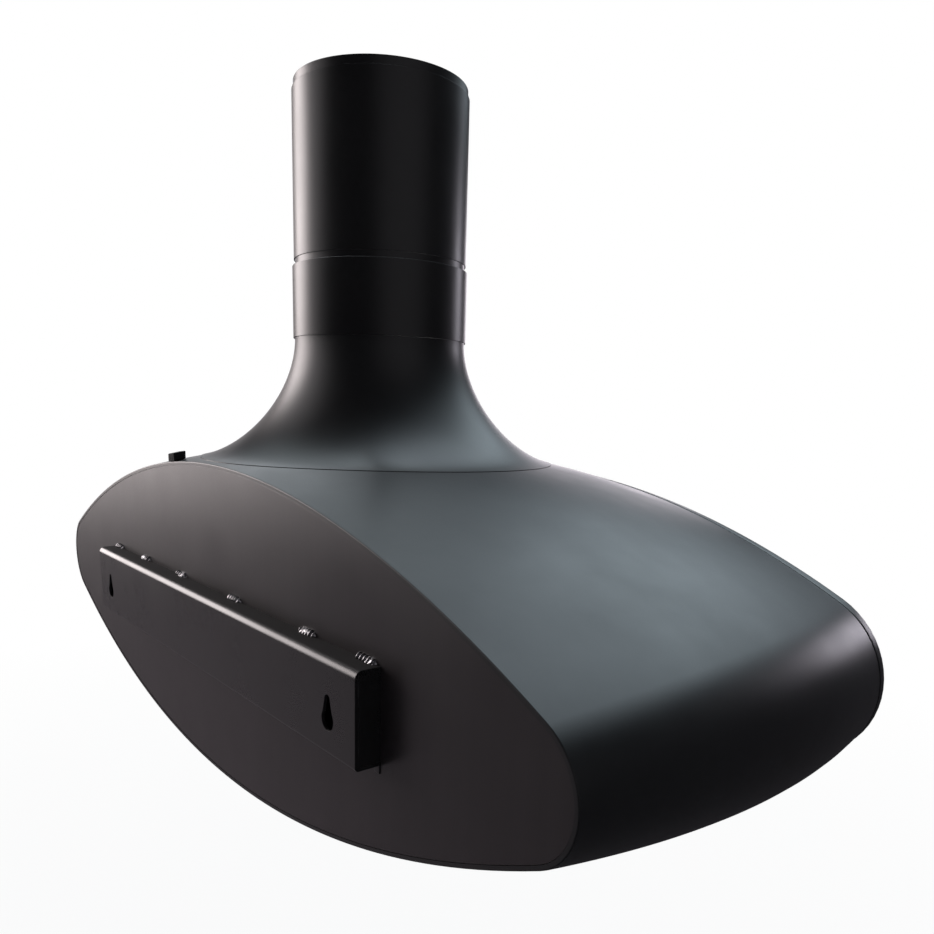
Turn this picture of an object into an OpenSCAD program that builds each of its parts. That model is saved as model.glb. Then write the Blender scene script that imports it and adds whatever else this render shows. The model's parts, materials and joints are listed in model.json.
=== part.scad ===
// Wall-hung fireplace: a lens-shaped steel body on a wall bracket, with a flared flue on top.
// The origin lies on the wall plane, on the body's middle line. +X is to the viewer's right when
// facing the fire, +Y points into the wall and +Z is up, so the fire opening looks along -Y.

/* [Body shell] */
// Width of the body across its two rounded tips, at the wall end
body_w_rear = 1404; // [1300:1:1700]
// Width of the body half way to the front
body_w_mid = 1407; // [1300:1:1700]
// Width of the body at its front edge
body_w_front = 1290; // [1200:1:1560]
// Height of the body at the wall end
body_h_rear = 443; // [420:1:540]
// Height of the body half way to the front
body_h_mid = 537; // [500:1:650]
// Height of the body at its front edge
body_h_front = 474; // [450:1:570]
// Radius of the two tips at the wall end
tip_r_rear = 72; // [60:1:100]
// Radius of the two tips half way to the front
tip_r_mid = 106; // [90:1:130]
// Radius of the two tips at the front edge
tip_r_front = 116; // [100:1:140]
// How far the body's middle line has dropped half way to the front
drop_mid = 19; // [0:1:30]
// How far the body's middle line has dropped at the front edge
drop_front = 38; // [0:1:50]
// Length of the shell from the wall end to the front trim
shell_l = 610; // [590:1:740]
// Thickness of the shell's steel
shell_wall = 5; // [3:0.5:6]

/* [Back and bracket] */
// Gap between the wall and the rear rim of the shell
standoff = 30; // [25:1:40]
// How deep the back plate sits inside the rear rim
plate_inset = 3; // [1:0.5:6]
// Thickness of the back plate
plate_t = 5; // [3:0.5:8]
// Length of the wall bracket
bracket_l = 850; // [700:1:1020]
// Height of the bracket above the body's middle line
bracket_up = 48; // [40:1:60]
// Depth of the bracket below the body's middle line
bracket_down = 59; // [50:1:70]
// Thickness of the bracket's sheet
bracket_t = 4; // [3:0.5:6]
// Outside radius of the bracket's upper fold
bracket_fold_r = 9; // [6:1:10]
// Outside radius of the bracket's lower fold
bracket_low_r = 5; // [4.5:0.5:9]
// Distance between the two keyholes
keyhole_spacing = 740; // [560:1:800]
// Radius of a keyhole's wide end, which passes the screw head
keyhole_head_r = 12; // [9:0.5:13]
// Radius of a keyhole's narrow end, which the screw hangs in
keyhole_neck_r = 5.5; // [4:0.5:7]
// Overall height of a keyhole
keyhole_h = 40; // [34:1:46]
// Height of a keyhole's top above the body's middle line
keyhole_top = 8.5; // [0:0.5:20]

/* [Flue] */
// Outside diameter of the flue pipe
pipe_d = 253; // [200:1:303]
// Thickness of the flue's sheet
pipe_wall = 2; // [1.5:0.5:3]
// Distance from the shell's rear rim to the flue's axis
pipe_back = 276; // [260:1:330]
// Height of the flue's top end
pipe_top = 747; // [700:1:900]
// Height of the narrow male end on top of the pipe
pipe_male_l = 12; // [8:1:40]
// Height of the collar's narrow neck that shows below the pipe
neck_shown = 9; // [4:1:14]
// Height of the damper collar's lower edge
collar_bottom = 399; // [385:1:450]
// Height of the damper collar up to its shoulder
collar_l = 101; // [90:1:130]
// How far the collar's neck pushes into the pipe, and the flare's neck into the collar
socket_l = 30; // [20:1:34]
// Radius of the flare where it meets the shell
flare_base_r = 266; // [230:1:270]
// Height at which the flare leaves its straight neck
flare_start = 397; // [340:1:400]
// Fullness of the flare's curve, where 1 is a quarter of an ellipse
flare_fullness = 1.12; // [1:0.02:1.3]
// Thickness of the flare's sheet
flare_wall = 2.5; // [2:0.5:4]

/* [Damper] */
// Compass angle of the damper's shaft, from +X towards -Y
damper_turn = 45; // [30:1:60]
// Radius of the damper's shaft
shaft_r = 5; // [4:0.5:6]
// Radius of the damper's flap
flap_r = 110; // [80:1:110]
// Thickness of the damper's flap
flap_t = 3; // [2:0.5:5]
// Length of the damper's lever
lever_l = 62; // [40:1:90]

/* [Front trim and door] */
// Depth of the front trim ahead of the shell
trim_l = 25; // [20:1:32]
// Thickness of the front trim's sheet
trim_t = 6; // [4:0.5:8]
// How far the front trim stands out around the shell
trim_proud = 4; // [0:0.5:8]
// Radius of the front trim's outer edge
trim_edge_r = 9; // [5:1:12]
// Margin from the trim's outer edge to the door
door_margin = 42; // [38:1:50]
// Width of the door's overlap on the trim
door_lap = 8; // [7:1:12]
// Width of the door frame's rail
door_rail = 40; // [40:1:50]
// Depth of the door frame
door_t = 20; // [16:1:26]
// Thickness of the door frame's sheet
door_sheet = 5; // [3:0.5:6]
// Thickness of the door's glass
glass_t = 4; // [3:0.5:6]
// Distance of each door hinge from the middle
hinge_x = 170; // [150:1:230]
// Radius of the hinge pins
hinge_pin_r = 4; // [3:0.5:5]

/* [Fire chamber] */
// Width of the fire chamber between its side bricks
chamber_w = 800; // [700:1:860]
// Thickness of the bricks
brick_t = 25; // [20:1:30]
// Height of the hearth plate's top, below the body's middle line
hearth_drop = 165; // [150:1:170]
// Height of the back bricks' top above the body's middle line
brick_top = 120; // [100:1:130]
// Width of the grate
grate_w = 320; // [260:1:380]
// Depth of the grate
grate_l = 230; // [190:1:260]
// Depth of the ash pan
pan_h = 60; // [40:1:66]
// Width of the smoke baffle
baffle_w = 560; // [480:1:640]
// Depth of the smoke baffle
baffle_l = 330; // [280:1:380]

/* [Air slide] */
// Number of air slots on each side of the knob
slot_count = 3; // [2:1:4]
// Width of one air slot
slot_w = 18; // [14:1:20]
// Distance from one air slot to the next
slot_pitch = 36; // [34:1:40]

/* [Hidden] */

// Clearances
gap = 0.3;          // between pieces that rest or slide on each other
run_gap = 0.05;     // radial, between a shaft and its bore
shell_gap = 0.7;    // between the shell's bowed surface and what stands on it
plate_gap = 1.2;    // between the back plate and the shell
flare_seat = 0.15;  // between the flare's foot and the shell

// Smoothness: steps along each tip, each long arc and the body's depth
tip_steps = 8;
arc_steps = 24;
depth_steps = 12;
ring_n = 48;
fine = 64;

// The body's section at each depth follows a smooth bow through three known sections.
section_l = shell_l + trim_l;
function bow(a, b, c, t) = a + (4 * b - 3 * a - c) * t + 2 * (a - 2 * b + c) * t * t;
function sec_w(t) = bow(body_w_rear, body_w_mid, body_w_front, t);
function sec_h(t) = bow(body_h_rear, body_h_mid, body_h_front, t);
function sec_r(t) = bow(tip_r_rear, tip_r_mid, tip_r_front, t);
function sec_z(t) = -bow(0, drop_mid, drop_front, t);
function at_y(y) = (-y - standoff) / section_l;
function y_at(t) = -standoff - t * section_l;

// A lens: two long arcs of one radius, joined by a small round tip at each end.
function arc_r(w, h, r) = (pow(w / 2 - r, 2) + h * h / 4 - r * r) / (h - 2 * r);
function tip_turn(w, h, r) = atan2(arc_r(w, h, r) - h / 2, w / 2 - r);
function sweep(cx, cy, r, a, b, n) = [
    for (i = [0 : n - 1]) [cx + r * cos(a + (b - a) * i / n), cy + r * sin(a + (b - a) * i / n)]
];
function lens(w, h, r) =
    let (turn = tip_turn(w, h, r), big = arc_r(w, h, r), cx = w / 2 - r, cy = h / 2 - big)
    concat(
        sweep(cx, 0, r, -turn, turn, tip_steps),
        sweep(0, cy, big, turn, 180 - turn, arc_steps),
        sweep(-cx, 0, r, 180 - turn, 180 + turn, tip_steps),
        sweep(0, -cy, big, 180 + turn, 360 - turn, arc_steps)
    );
function section(t, inset) = lens(sec_w(t) - 2 * inset, sec_h(t) - 2 * inset, sec_r(t) - inset);
function ring(t, inset, y) = [for (p = section(t, inset)) [p.x, y, p.y + sec_z(t)]];

// Height of the body's upper and lower surface over a point, and half width at a height
function sec_big(t, inset) =
    arc_r(sec_w(t) - 2 * inset, sec_h(t) - 2 * inset, sec_r(t) - inset);
function arc_drop(t, inset, x) =
    let (big = sec_big(t, inset)) big - sqrt(big * big - x * x);
function top_z(x, y, inset = 0) =
    let (t = at_y(y)) sec_z(t) + sec_h(t) / 2 - inset - arc_drop(t, inset, x);
function low_z(x, y, inset = 0) =
    let (t = at_y(y)) sec_z(t) - sec_h(t) / 2 + inset + arc_drop(t, inset, x);
function half_w(z, y, inset) =
    let (t = at_y(y), big = sec_big(t, inset), rise = z - sec_z(t) + sec_h(t) / 2 - inset)
    sqrt(big * big - pow(big - rise, 2));

// Places along the depth
rear_y = -standoff;
shell_front_y = rear_y - shell_l;
front_y = rear_y - section_l;
shell_t = shell_l / section_l;
plate_y = rear_y - plate_inset;
plate_front_y = plate_y - plate_t;
trim_back_y = front_y + trim_t;

// The shell runs straight between its depth steps, which takes up part of the clearance inside it
shell_chord = abs(body_w_rear - 2 * body_w_mid + body_w_front) / 4 * pow(shell_t / depth_steps, 2);
inner_gap = max(shell_gap, shell_chord);

// Flue sizes
pipe_r = pipe_d / 2;
pipe_in_r = pipe_r - pipe_wall;
pipe_y = rear_y - pipe_back;
collar_r = pipe_r + gap;
collar_out_r = collar_r + pipe_wall;
collar_top = collar_bottom + collar_l;
neck_top = collar_bottom + socket_l;
pipe_bottom = collar_top + neck_shown;
male_r = pipe_in_r - gap;
male_in_r = male_r - pipe_wall;
pipe_rim = pipe_top - pipe_male_l;
foot_r = min(flare_base_r, pipe_back - 8);
flare_top = min(flare_start, collar_bottom - 2);
flare_hole_r = foot_r - 36;

// Damper places
damper_z = (neck_top + collar_top) / 2;
bush_r = shaft_r + 4;
bush_rear_in = flap_r + 3;
bush_flange_r = bush_r + 4;
bush_flange_t = 3;
bush_out = collar_out_r + 12;
lever_t = 5;
lever_r = 9;
knob_r = 11;
clamp_x = 60;
clamp_l = 18;
clamp_h = 12;

// Door places: insets are measured inwards from the front section's outline
lap_inset = door_margin + door_lap;
window_inset = door_margin + door_rail;
glass_inset = window_inset - 12;
seal_w = door_lap - 1;
seal_t = 1.7;
gasket_t = 1.5;
door_gap = 2;
door_back_y = front_y - door_gap;
door_front_y = front_y - door_gap - door_t;
door_sheet_y = door_front_y + door_sheet;
glass_front_y = door_sheet_y + gasket_t;
glass_back_y = glass_front_y + glass_t;
door_edge_r = 5;
front_z = sec_z(1);
door_bottom = front_z - sec_h(1) / 2 + door_margin;
door_top = front_z + sec_h(1) / 2 - door_margin;

// Hinge places
hinge_y = door_front_y + 4;
hinge_z = door_bottom - 10;
knuckle_r = hinge_pin_r + 3;
knuckle_l = 40;
ear_t = 6;
ear_x = knuckle_l / 2 + 0.5;
strap_t = 4;
strap_top = door_bottom + arc_drop(1, door_margin, hinge_x) + 32;
pin_head_r = 6.5;
pin_head_t = 3;
base_t = 4;
base_w = 2 * (ear_x + ear_t) + 30;
base_low = hinge_z - 9;
base_high = hinge_z + 11;

// Latch places
latch_z = door_top - door_rail / 2;
spindle_r = 4;
latch_bush_r = 7;
latch_flange_r = 10;
latch_flange_t = 3;
cam_t = 4;
cam_w = 14;
cam_l = 30;
cam_y = trim_back_y + 1;
handle_y = door_front_y - 24;
handle_l = 90;
handle_r = 8;

// Chamber places
hearth_z = -hearth_drop;
hearth_t = 4;
floor_z = hearth_z + brick_t;
shield_space = 42;
shield_t = 3;
shield_y = plate_front_y - shield_space;
shield_front_y = shield_y - shield_t;
nut_t = 6;
nut_r = 8;
brick_back_y = shield_front_y - nut_t - 2;
brick_front_y = brick_back_y - brick_t;
frame_t = 4;
frame_back_y = shell_front_y + 44;
frame_front_y = frame_back_y - frame_t;
hearth_front_y = frame_back_y + gap;
side_x = chamber_w / 2;
joint_gap = 0.5;
grate_y = (brick_front_y + hearth_front_y) / 2;
rim_t = 2;
pan_t = 2;
baffle_t = 20;
lip_t = shield_t;
baffle_z = brick_top + gap + lip_t + gap;
baffle_back_y = shield_front_y - 1;
baffle_front_y = baffle_back_y - baffle_l;
hanger_r = 4;
hanger_x = baffle_w / 2 - 30;
hanger_y = baffle_front_y + 30;

// Air slide places
slide_t = 3;
slide_h = 18;
slide_z = front_z - sec_h(1) / 2 + 33;
slide_y = trim_back_y + 0.2;
slide_travel = slot_pitch / 2;
slide_half = (slot_count + 0.4) * slot_pitch;
slot_h = 8;
guide_t = 3;
knob_stem_r = 3;
knob_slot = slide_travel / 2 + knob_stem_r + 1;
knob_grip_r = knob_stem_r + 2.5;
knob_out = 12;
knob_grip_l = 8;

// Screws
screw_r = 2.5;
screw_head_r = 4.5;
screw_head_t = 2.4;

// ---- helpers ----

// Skins a closed loop of rings, each a list of points, into one solid.
module loft_loop(rings) {
    n = len(rings[0]);
    m = len(rings);
    points = [for (r = rings) each r];
    faces = [
        for (i = [0 : m - 1], j = [0 : n - 1])
            let (a = i * n + j, b = i * n + (j + 1) % n, k = ((i + 1) % m) * n)
            each [[a, k + j, k + (j + 1) % n], [a, k + (j + 1) % n, b]]
    ];
    polyhedron(points, faces, convexity = 10);
}

// Extrudes an outline drawn in X and Z from y0 forwards to y1.
module slab(y0, y1) {
    translate([0, y0, 0])
        rotate([90, 0, 0])
            linear_extrude(y0 - y1)
                children();
}

// Extrudes an outline drawn in Y and Z from x0 to x1.
module rib(x0, x1) {
    translate([x0, 0, 0])
        rotate([90, 0, 90])
            linear_extrude(x1 - x0)
                children();
}

// A box between two corners
module block(low, high) {
    translate(low)
        cube(high - low);
}

// A round bar along Y from y0 forwards to y1
module bar_y(x, z, r, y0, y1) {
    translate([x, y0, z])
        rotate([90, 0, 0])
            cylinder(r = r, h = y0 - y1, $fn = fine);
}

// A round bar along X
module bar_x(x0, x1, y, z, r) {
    translate([x0, y, z])
        rotate([0, 90, 0])
            cylinder(r = r, h = x1 - x0, $fn = fine);
}

module tube_z(r_out, r_in, z0, z1) {
    translate([0, pipe_y, z0])
        difference() {
            cylinder(r = r_out, h = z1 - z0, $fn = 128);
            translate([0, 0, -1])
                cylinder(r = r_in, h = z1 - z0 + 2, $fn = 128);
        }
}

// The lens outline at a depth, as a flat shape
module lens_face(t, inset) {
    translate([0, sec_z(t)])
        polygon(section(t, inset));
}

// A flat lens-shaped band between two insets of the front section
module lens_band(outer, inner) {
    difference() {
        lens_face(1, outer);
        lens_face(1, inner);
    }
}

// Puts the children on the damper's axis: +X along the shaft towards the lever, +Z up
module on_damper() {
    translate([0, pipe_y, damper_z])
        rotate([0, 0, -damper_turn])
            children();
}

// ---- body ----

module body_shell() {
    outer = [for (i = [0 : depth_steps]) let (t = shell_t * i / depth_steps) ring(t, 0, y_at(t))];
    inner = [
        for (i = [depth_steps : -1 : 0])
            let (t = shell_t * i / depth_steps) ring(t, shell_wall, y_at(t))
    ];
    color([0.16, 0.17, 0.18])
        difference() {
            loft_loop(concat(outer, inner));
            translate([0, pipe_y, 0])
                cylinder(r = flare_hole_r, h = pipe_top, $fn = 128);
        }
}

module back_plate() {
    color([0.2, 0.19, 0.19])
        slab(plate_y, plate_front_y)
            lens_face(0, shell_wall + plate_gap);
}

// Channel outline in Y and Z: open towards the body, folded round at the wall side
module bracket_outline() {
    deep = plate_y;
    difference() {
        union() {
            translate([deep, -bracket_down])
                square([-deep - bracket_fold_r, bracket_up + bracket_down]);
            translate([-bracket_fold_r - 1, bracket_low_r - bracket_down])
                square([bracket_fold_r + 1, bracket_up + bracket_down - bracket_low_r - bracket_fold_r]);
            translate([-bracket_fold_r - 1, -bracket_down])
                square([bracket_fold_r + 1 - bracket_low_r, bracket_low_r + 1]);
            translate([-bracket_fold_r, bracket_up - bracket_fold_r])
                circle(bracket_fold_r, $fn = fine);
            translate([-bracket_low_r, bracket_low_r - bracket_down])
                circle(bracket_low_r, $fn = fine);
        }
        translate([deep - 1, bracket_t - bracket_down])
            square([-deep + 1 - bracket_t, bracket_up + bracket_down - 2 * bracket_t]);
    }
}

module keyhole() {
    head_z = keyhole_top - keyhole_h + keyhole_head_r;
    neck_z = keyhole_top - keyhole_neck_r;
    circle_share = 0.96;
    translate([0, head_z])
        circle(keyhole_head_r, $fn = fine);
    translate([0, neck_z])
        circle(keyhole_neck_r, $fn = fine);
    polygon([
        [-keyhole_head_r * circle_share, head_z],
        [keyhole_head_r * circle_share, head_z],
        [keyhole_neck_r * circle_share, neck_z],
        [-keyhole_neck_r * circle_share, neck_z]
    ]);
}

module wall_bracket() {
    color([0.2, 0.2, 0.21])
        difference() {
            rib(-bracket_l / 2, bracket_l / 2)
                bracket_outline();
            for (side = [-1, 1])
                translate([side * keyhole_spacing / 2, 0, 0])
                    slab(1, -bracket_t - 1)
                        keyhole();
        }
}

// A cap closes each end of the channel, and a small tab stands below it against the back plate
module bracket_end_caps() {
    tab = 9;
    clear = bracket_t + gap;
    half = bracket_l / 2;
    color([0.1, 0.1, 0.1])
        for (side = [-1, 1])
            translate([side > 0 ? half - bracket_t : -half, 0, 0]) {
                block(
                    [0, plate_y, clear - bracket_down],
                    [bracket_t, -clear, bracket_up - clear]
                );
                block(
                    [side > 0 ? bracket_t - tab : 0, plate_y, -bracket_down - tab],
                    [side > 0 ? bracket_t : tab, plate_y + bracket_t, -bracket_down]
                );
            }
}

// Stitch welds lie in the corner between the bracket's flanges and the back plate
module weld_beads() {
    bead_r = 6;
    bead_l = 38;
    bead_share = [0.945, 0.631, 0.266, -0.179, -0.647, -0.941];
    low_share = 0.9;
    color([0.7, 0.7, 0.72])
        for (share = bead_share, side = [-1, 1])
            translate([
                share * (side > 0 ? 1 : low_share) * bracket_l / 2 - bead_l / 2,
                0,
                side > 0 ? bracket_up : -bracket_down
            ])
                rib(0, bead_l)
                    intersection() {
                        translate([plate_y, 0])
                            circle(bead_r, $fn = 32);
                        translate([plate_y, side > 0 ? 0 : -bead_r])
                            square(bead_r);
                    }
}

module rear_lug() {
    lug = [24, 18, 12];
    x0 = 128;
    y0 = rear_y - 1 - lug.y;
    seat = 0.2;
    corners = [[x0, y0], [x0 + lug.x, y0], [x0 + lug.x, y0 + lug.y], [x0, y0 + lug.y]];
    points = concat(
        [for (c = corners) [c.x, c.y, top_z(c.x, c.y) + seat]],
        [for (c = corners) [c.x, c.y, top_z(c.x, c.y) + lug.z]]
    );
    faces = [
        [0, 1, 2], [0, 2, 3], [4, 6, 5], [4, 7, 6], [0, 5, 1], [0, 4, 5],
        [1, 6, 2], [1, 5, 6], [2, 7, 3], [2, 6, 7], [3, 4, 0], [3, 7, 4]
    ];
    color([0.08, 0.08, 0.08])
        polyhedron(points, faces);
}

// ---- flue ----

// One ring of the flare. a runs from 0 at the straight neck to 90 at the shell.
function flare_point(a, turn, inner) =
    let (
        sheet = inner ? flare_wall : 0,
        r = pipe_r + (foot_r - pipe_r) * (1 - cos(a)),
        seat = top_z(r * cos(turn), pipe_y + r * sin(turn)) + flare_wall + flare_seat,
        z = seat + (flare_top - seat) * (1 - pow(sin(a), flare_fullness)),
        rr = r - sheet * cos(a)
    )
    [rr * cos(turn), pipe_y + rr * sin(turn), z - sheet * sin(a)];
function flare_ring(a, inner) = [for (j = [0 : ring_n - 1]) flare_point(a, 360 * j / ring_n, inner)];
function round_ring(r, z) = [
    for (j = [0 : ring_n - 1])
        [r * cos(360 * j / ring_n), pipe_y + r * sin(360 * j / ring_n), z]
];

module flue_flare() {
    steps = 9;
    outer = [for (i = [0 : steps]) flare_ring(90 * i / steps, false)];
    inner = [for (i = [steps : -1 : 0]) flare_ring(90 * i / steps, true)];
    color([0.15, 0.15, 0.16])
        loft_loop(concat(
            [round_ring(pipe_r, neck_top)],
            outer,
            inner,
            [round_ring(pipe_r - flare_wall, neck_top)]
        ));
}

// A length of pipe: a shoulder near its top narrows it to a male end, which fits the next length
module flue_length(r_out, r_in, z0, shoulder, z1) {
    union() {
        tube_z(r_out, r_in, z0, shoulder);
        tube_z(r_out - pipe_wall / 2, male_in_r, shoulder - pipe_wall, shoulder);
        tube_z(male_r, male_in_r, shoulder - 1, z1);
    }
}

module damper_collar() {
    color([0.12, 0.12, 0.13])
        difference() {
            flue_length(collar_out_r, collar_r, collar_bottom, collar_top, pipe_bottom + socket_l);
            on_damper()
                bar_x(collar_r - 8, collar_out_r + 2, 0, 0, bush_r + run_gap);
        }
}

module flue_pipe() {
    color([0.1, 0.1, 0.11])
        flue_length(pipe_r, pipe_in_r, pipe_bottom, pipe_rim, pipe_top);
}

// ---- damper ----

module damper_bush_front() {
    color([0.72, 0.6, 0.3])
        on_damper()
            difference() {
                union() {
                    bar_x(collar_r - 4, bush_out, 0, 0, bush_r);
                    bar_x(bush_out - bush_flange_t, bush_out, 0, 0, bush_flange_r);
                }
                bar_x(collar_r - 5, bush_out + 1, 0, 0, shaft_r + run_gap);
            }
}

module damper_bush_rear() {
    color([0.72, 0.6, 0.3])
        on_damper()
            difference() {
                intersection() {
                    bar_x(-collar_r, -bush_rear_in, 0, 0, bush_r);
                    translate([0, 0, -bush_r])
                        cylinder(r = collar_r - gap / 2, h = 2 * bush_r, $fn = 128);
                }
                bar_x(-collar_r + 5, -bush_rear_in + 1, 0, 0, shaft_r + run_gap);
            }
}

module damper_shaft() {
    color([0.55, 0.55, 0.57])
        on_damper()
            bar_x(-collar_r + 5 + gap, bush_out + lever_t + gap, 0, 0, shaft_r);
}

// The flap hangs upright beside the shaft when the flue is open
module damper_flap() {
    color([0.3, 0.3, 0.31])
        on_damper()
            translate([0, -shaft_r - flap_t, 0])
                rotate([-90, 0, 0])
                    cylinder(r = flap_r, h = flap_t, $fn = 96);
}

module flap_clamps() {
    color([0.4, 0.4, 0.41])
        on_damper()
            for (x = [-clamp_x, clamp_x])
                translate([x, 0, 0])
                    difference() {
                        block(
                            [-clamp_l / 2, -shaft_r, -clamp_h],
                            [clamp_l / 2, shaft_r + 4, clamp_h]
                        );
                        bar_x(-clamp_l, clamp_l, 0, 0, shaft_r + run_gap);
                    }
}

module damper_lever() {
    x0 = bush_out + gap;
    color([0.14, 0.14, 0.15])
        on_damper()
            difference() {
                union() {
                    bar_x(x0, x0 + lever_t, 0, 0, lever_r);
                    block([x0, -lever_r / 2, -lever_l], [x0 + lever_t, lever_r / 2, 0]);
                }
                bar_x(x0 - 1, x0 + lever_t + 1, 0, 0, shaft_r);
            }
}

module lever_knob() {
    x0 = bush_out + gap + lever_t;
    color([0.6, 0.42, 0.25])
        on_damper()
            bar_x(x0, x0 + 2 * knob_r, 0, knob_r - lever_l, knob_r);
}

// ---- fire chamber ----

module smoke_baffle() {
    hole = hanger_r + gap;
    color([0.75, 0.68, 0.52])
        difference() {
            block(
                [-baffle_w / 2, baffle_front_y, baffle_z],
                [baffle_w / 2, baffle_back_y, baffle_z + baffle_t]
            );
            for (side = [-1, 1])
                translate([side * hanger_x, hanger_y, baffle_z - 1])
                    cylinder(r = hole, h = baffle_t + 2, $fn = fine);
        }
}

// Rods from the shell's roof hold the baffle's front edge
module baffle_hangers() {
    low = baffle_z - 14;
    color([0.5, 0.5, 0.5])
        for (side = [-1, 1])
            translate([side * hanger_x, hanger_y, low])
                cylinder(
                    r = hanger_r,
                    h = top_z(hanger_x + hanger_r, hanger_y, shell_wall) - inner_gap - low,
                    $fn = fine
                );
}

module hanger_nuts() {
    nut_h = 7;
    color([0.55, 0.55, 0.56])
        for (side = [-1, 1])
            translate([side * hanger_x, hanger_y, baffle_z - gap - nut_h])
                difference() {
                    cylinder(r = nut_r, h = nut_h, $fn = 6);
                    translate([0, 0, -1])
                        cylinder(r = hanger_r, h = nut_h + 2, $fn = fine);
                }
}

stud_r = 4;
stud_places = [for (x = [-300, 0, 300], z = [-90, 70]) [x * chamber_w / 800, z]];

// Sheet in front of the back plate, with a lip that holds the bricks' tops
module heat_shield() {
    half = side_x + brick_t;
    lip_y = brick_front_y - gap - lip_t;
    color([0.33, 0.33, 0.34])
        difference() {
            union() {
                block([-half, shield_front_y, hearth_z + gap], [half, shield_y, brick_top + gap + 1]);
                block(
                    [-side_x, lip_y, brick_top + gap],
                    [side_x, shield_y, brick_top + gap + lip_t]
                );
                block(
                    [-side_x, lip_y, brick_top - 12],
                    [side_x, lip_y + lip_t, brick_top + gap + 1]
                );
            }
            for (p = stud_places)
                bar_y(p.x, p.y, stud_r + gap, shield_y + 1, shield_front_y - 1);
        }
}

module shield_studs() {
    color([0.5, 0.5, 0.5])
        for (p = stud_places)
            bar_y(p.x, p.y, stud_r, plate_front_y, shield_front_y - nut_t - 1);
}

module shield_spacers() {
    color([0.45, 0.45, 0.46])
        for (p = stud_places)
            difference() {
                bar_y(p.x, p.y, stud_r + 5, plate_front_y, shield_y);
                bar_y(p.x, p.y, stud_r + gap, plate_front_y + 1, shield_y - 1);
            }
}

module shield_nuts() {
    color([0.55, 0.55, 0.56])
        for (p = stud_places)
            translate([p.x, shield_front_y, p.y])
                rotate([90, 0, 0])
                    difference() {
                        cylinder(r = nut_r, h = nut_t, $fn = 6);
                        translate([0, 0, -1])
                            cylinder(r = stud_r, h = nut_t + 2, $fn = fine);
                    }
}

// The back wall is three bricks of equal width
brick_w = (chamber_w - 2 * joint_gap) / 3;
module back_brick(column) {
    x0 = -side_x + column * (brick_w + joint_gap);
    color([0.72, 0.62, 0.45])
        block([x0, brick_front_y, hearth_z + gap], [x0 + brick_w, brick_back_y, brick_top]);
}
module back_brick_left() { back_brick(0); }
module back_brick_middle() { back_brick(1); }
module back_brick_right() { back_brick(2); }

// A side brick's top follows the shell's roof
module side_brick(side) {
    steps = 6;
    y0 = brick_back_y;
    y1 = hearth_front_y;
    x_in = side_x + joint_gap;
    x_out = x_in + brick_t;
    roof = [
        for (i = [0 : steps])
            let (y = y0 + (y1 - y0) * i / steps) [y, top_z(x_out, y, shell_wall) - 3]
    ];
    color([0.7, 0.6, 0.44])
        rib(side > 0 ? x_in : -x_out, side > 0 ? x_out : -x_in)
            polygon(concat(roof, [[y1, hearth_z + gap], [y0, hearth_z + gap]]));
}
module side_brick_left() { side_brick(-1); }
module side_brick_right() { side_brick(1); }

// Flat floor sheet; its sides follow the shell's slope where the shell is narrow
module hearth_plate() {
    steps = 8;
    y0 = shield_front_y - gap;
    y1 = hearth_front_y;
    z = hearth_z - hearth_t;
    edge = [
        for (i = [0 : steps])
            let (y = y0 + (y1 - y0) * i / steps)
            [min(side_x + 1.6 * brick_t, half_w(z, y, shell_wall + 2 * inner_gap)), y]
    ];
    hole_w = grate_w - 30;
    hole_l = grate_l - 30;
    color([0.25, 0.25, 0.26])
        translate([0, 0, z])
            linear_extrude(hearth_t)
                difference() {
                    polygon(concat(edge, [for (i = [steps : -1 : 0]) [-edge[i].x, edge[i].y]]));
                    translate([-hole_w / 2, grate_y - hole_l / 2])
                        square([hole_w, hole_l]);
                }
}

// Two upright bars on edge carry the hearth plate; their lower edges follow the shell
module hearth_rails() {
    steps = 8;
    rail_t = 8;
    rail_x = grate_w / 2 + 50;
    y0 = plate_front_y - 6;
    y1 = hearth_front_y;
    low = [
        for (i = [0 : steps])
            let (y = y0 + (y1 - y0) * i / steps) [y, low_z(rail_x + rail_t, y, shell_wall) + inner_gap]
    ];
    color([0.3, 0.3, 0.31])
        for (side = [-1, 1])
            rib(side > 0 ? rail_x : -rail_x - rail_t, side > 0 ? rail_x + rail_t : -rail_x)
                polygon(concat(low, [[y1, hearth_z - hearth_t], [y0, hearth_z - hearth_t]]));
}

brick_z = [hearth_z + gap, floor_z];
floor_back_y = brick_front_y - joint_gap;
floor_front_y = hearth_front_y;
module floor_brick(x0, x1, y0, y1) {
    color([0.74, 0.64, 0.47])
        block([x0, y1, brick_z[0]], [x1, y0, brick_z[1]]);
}
module floor_brick_left() {
    floor_brick(-side_x, -grate_w / 2 - joint_gap, floor_back_y, floor_front_y);
}
module floor_brick_right() {
    floor_brick(grate_w / 2 + joint_gap, side_x, floor_back_y, floor_front_y);
}
module floor_brick_rear() {
    floor_brick(-grate_w / 2, grate_w / 2, floor_back_y, grate_y + grate_l / 2 + joint_gap);
}
module floor_brick_front() {
    floor_brick(-grate_w / 2, grate_w / 2, grate_y - grate_l / 2 - joint_gap, floor_front_y);
}

// Cast grate with a row of slots, resting on the ash pan's rim
module grate() {
    slots = 9;
    bar_w = 12;
    rim = 22;
    pitch = (grate_w - 2 * rim + bar_w) / slots;
    color([0.18, 0.18, 0.19])
        difference() {
            block(
                [-grate_w / 2, grate_y - grate_l / 2, hearth_z + rim_t + 2 * gap],
                [grate_w / 2, grate_y + grate_l / 2, floor_z]
            );
            for (i = [0 : slots - 1])
                translate([rim - grate_w / 2 + i * pitch, grate_y - grate_l / 2 + rim, hearth_z])
                    cube([pitch - bar_w, grate_l - 2 * rim, 2 * brick_t]);
        }
}

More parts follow.
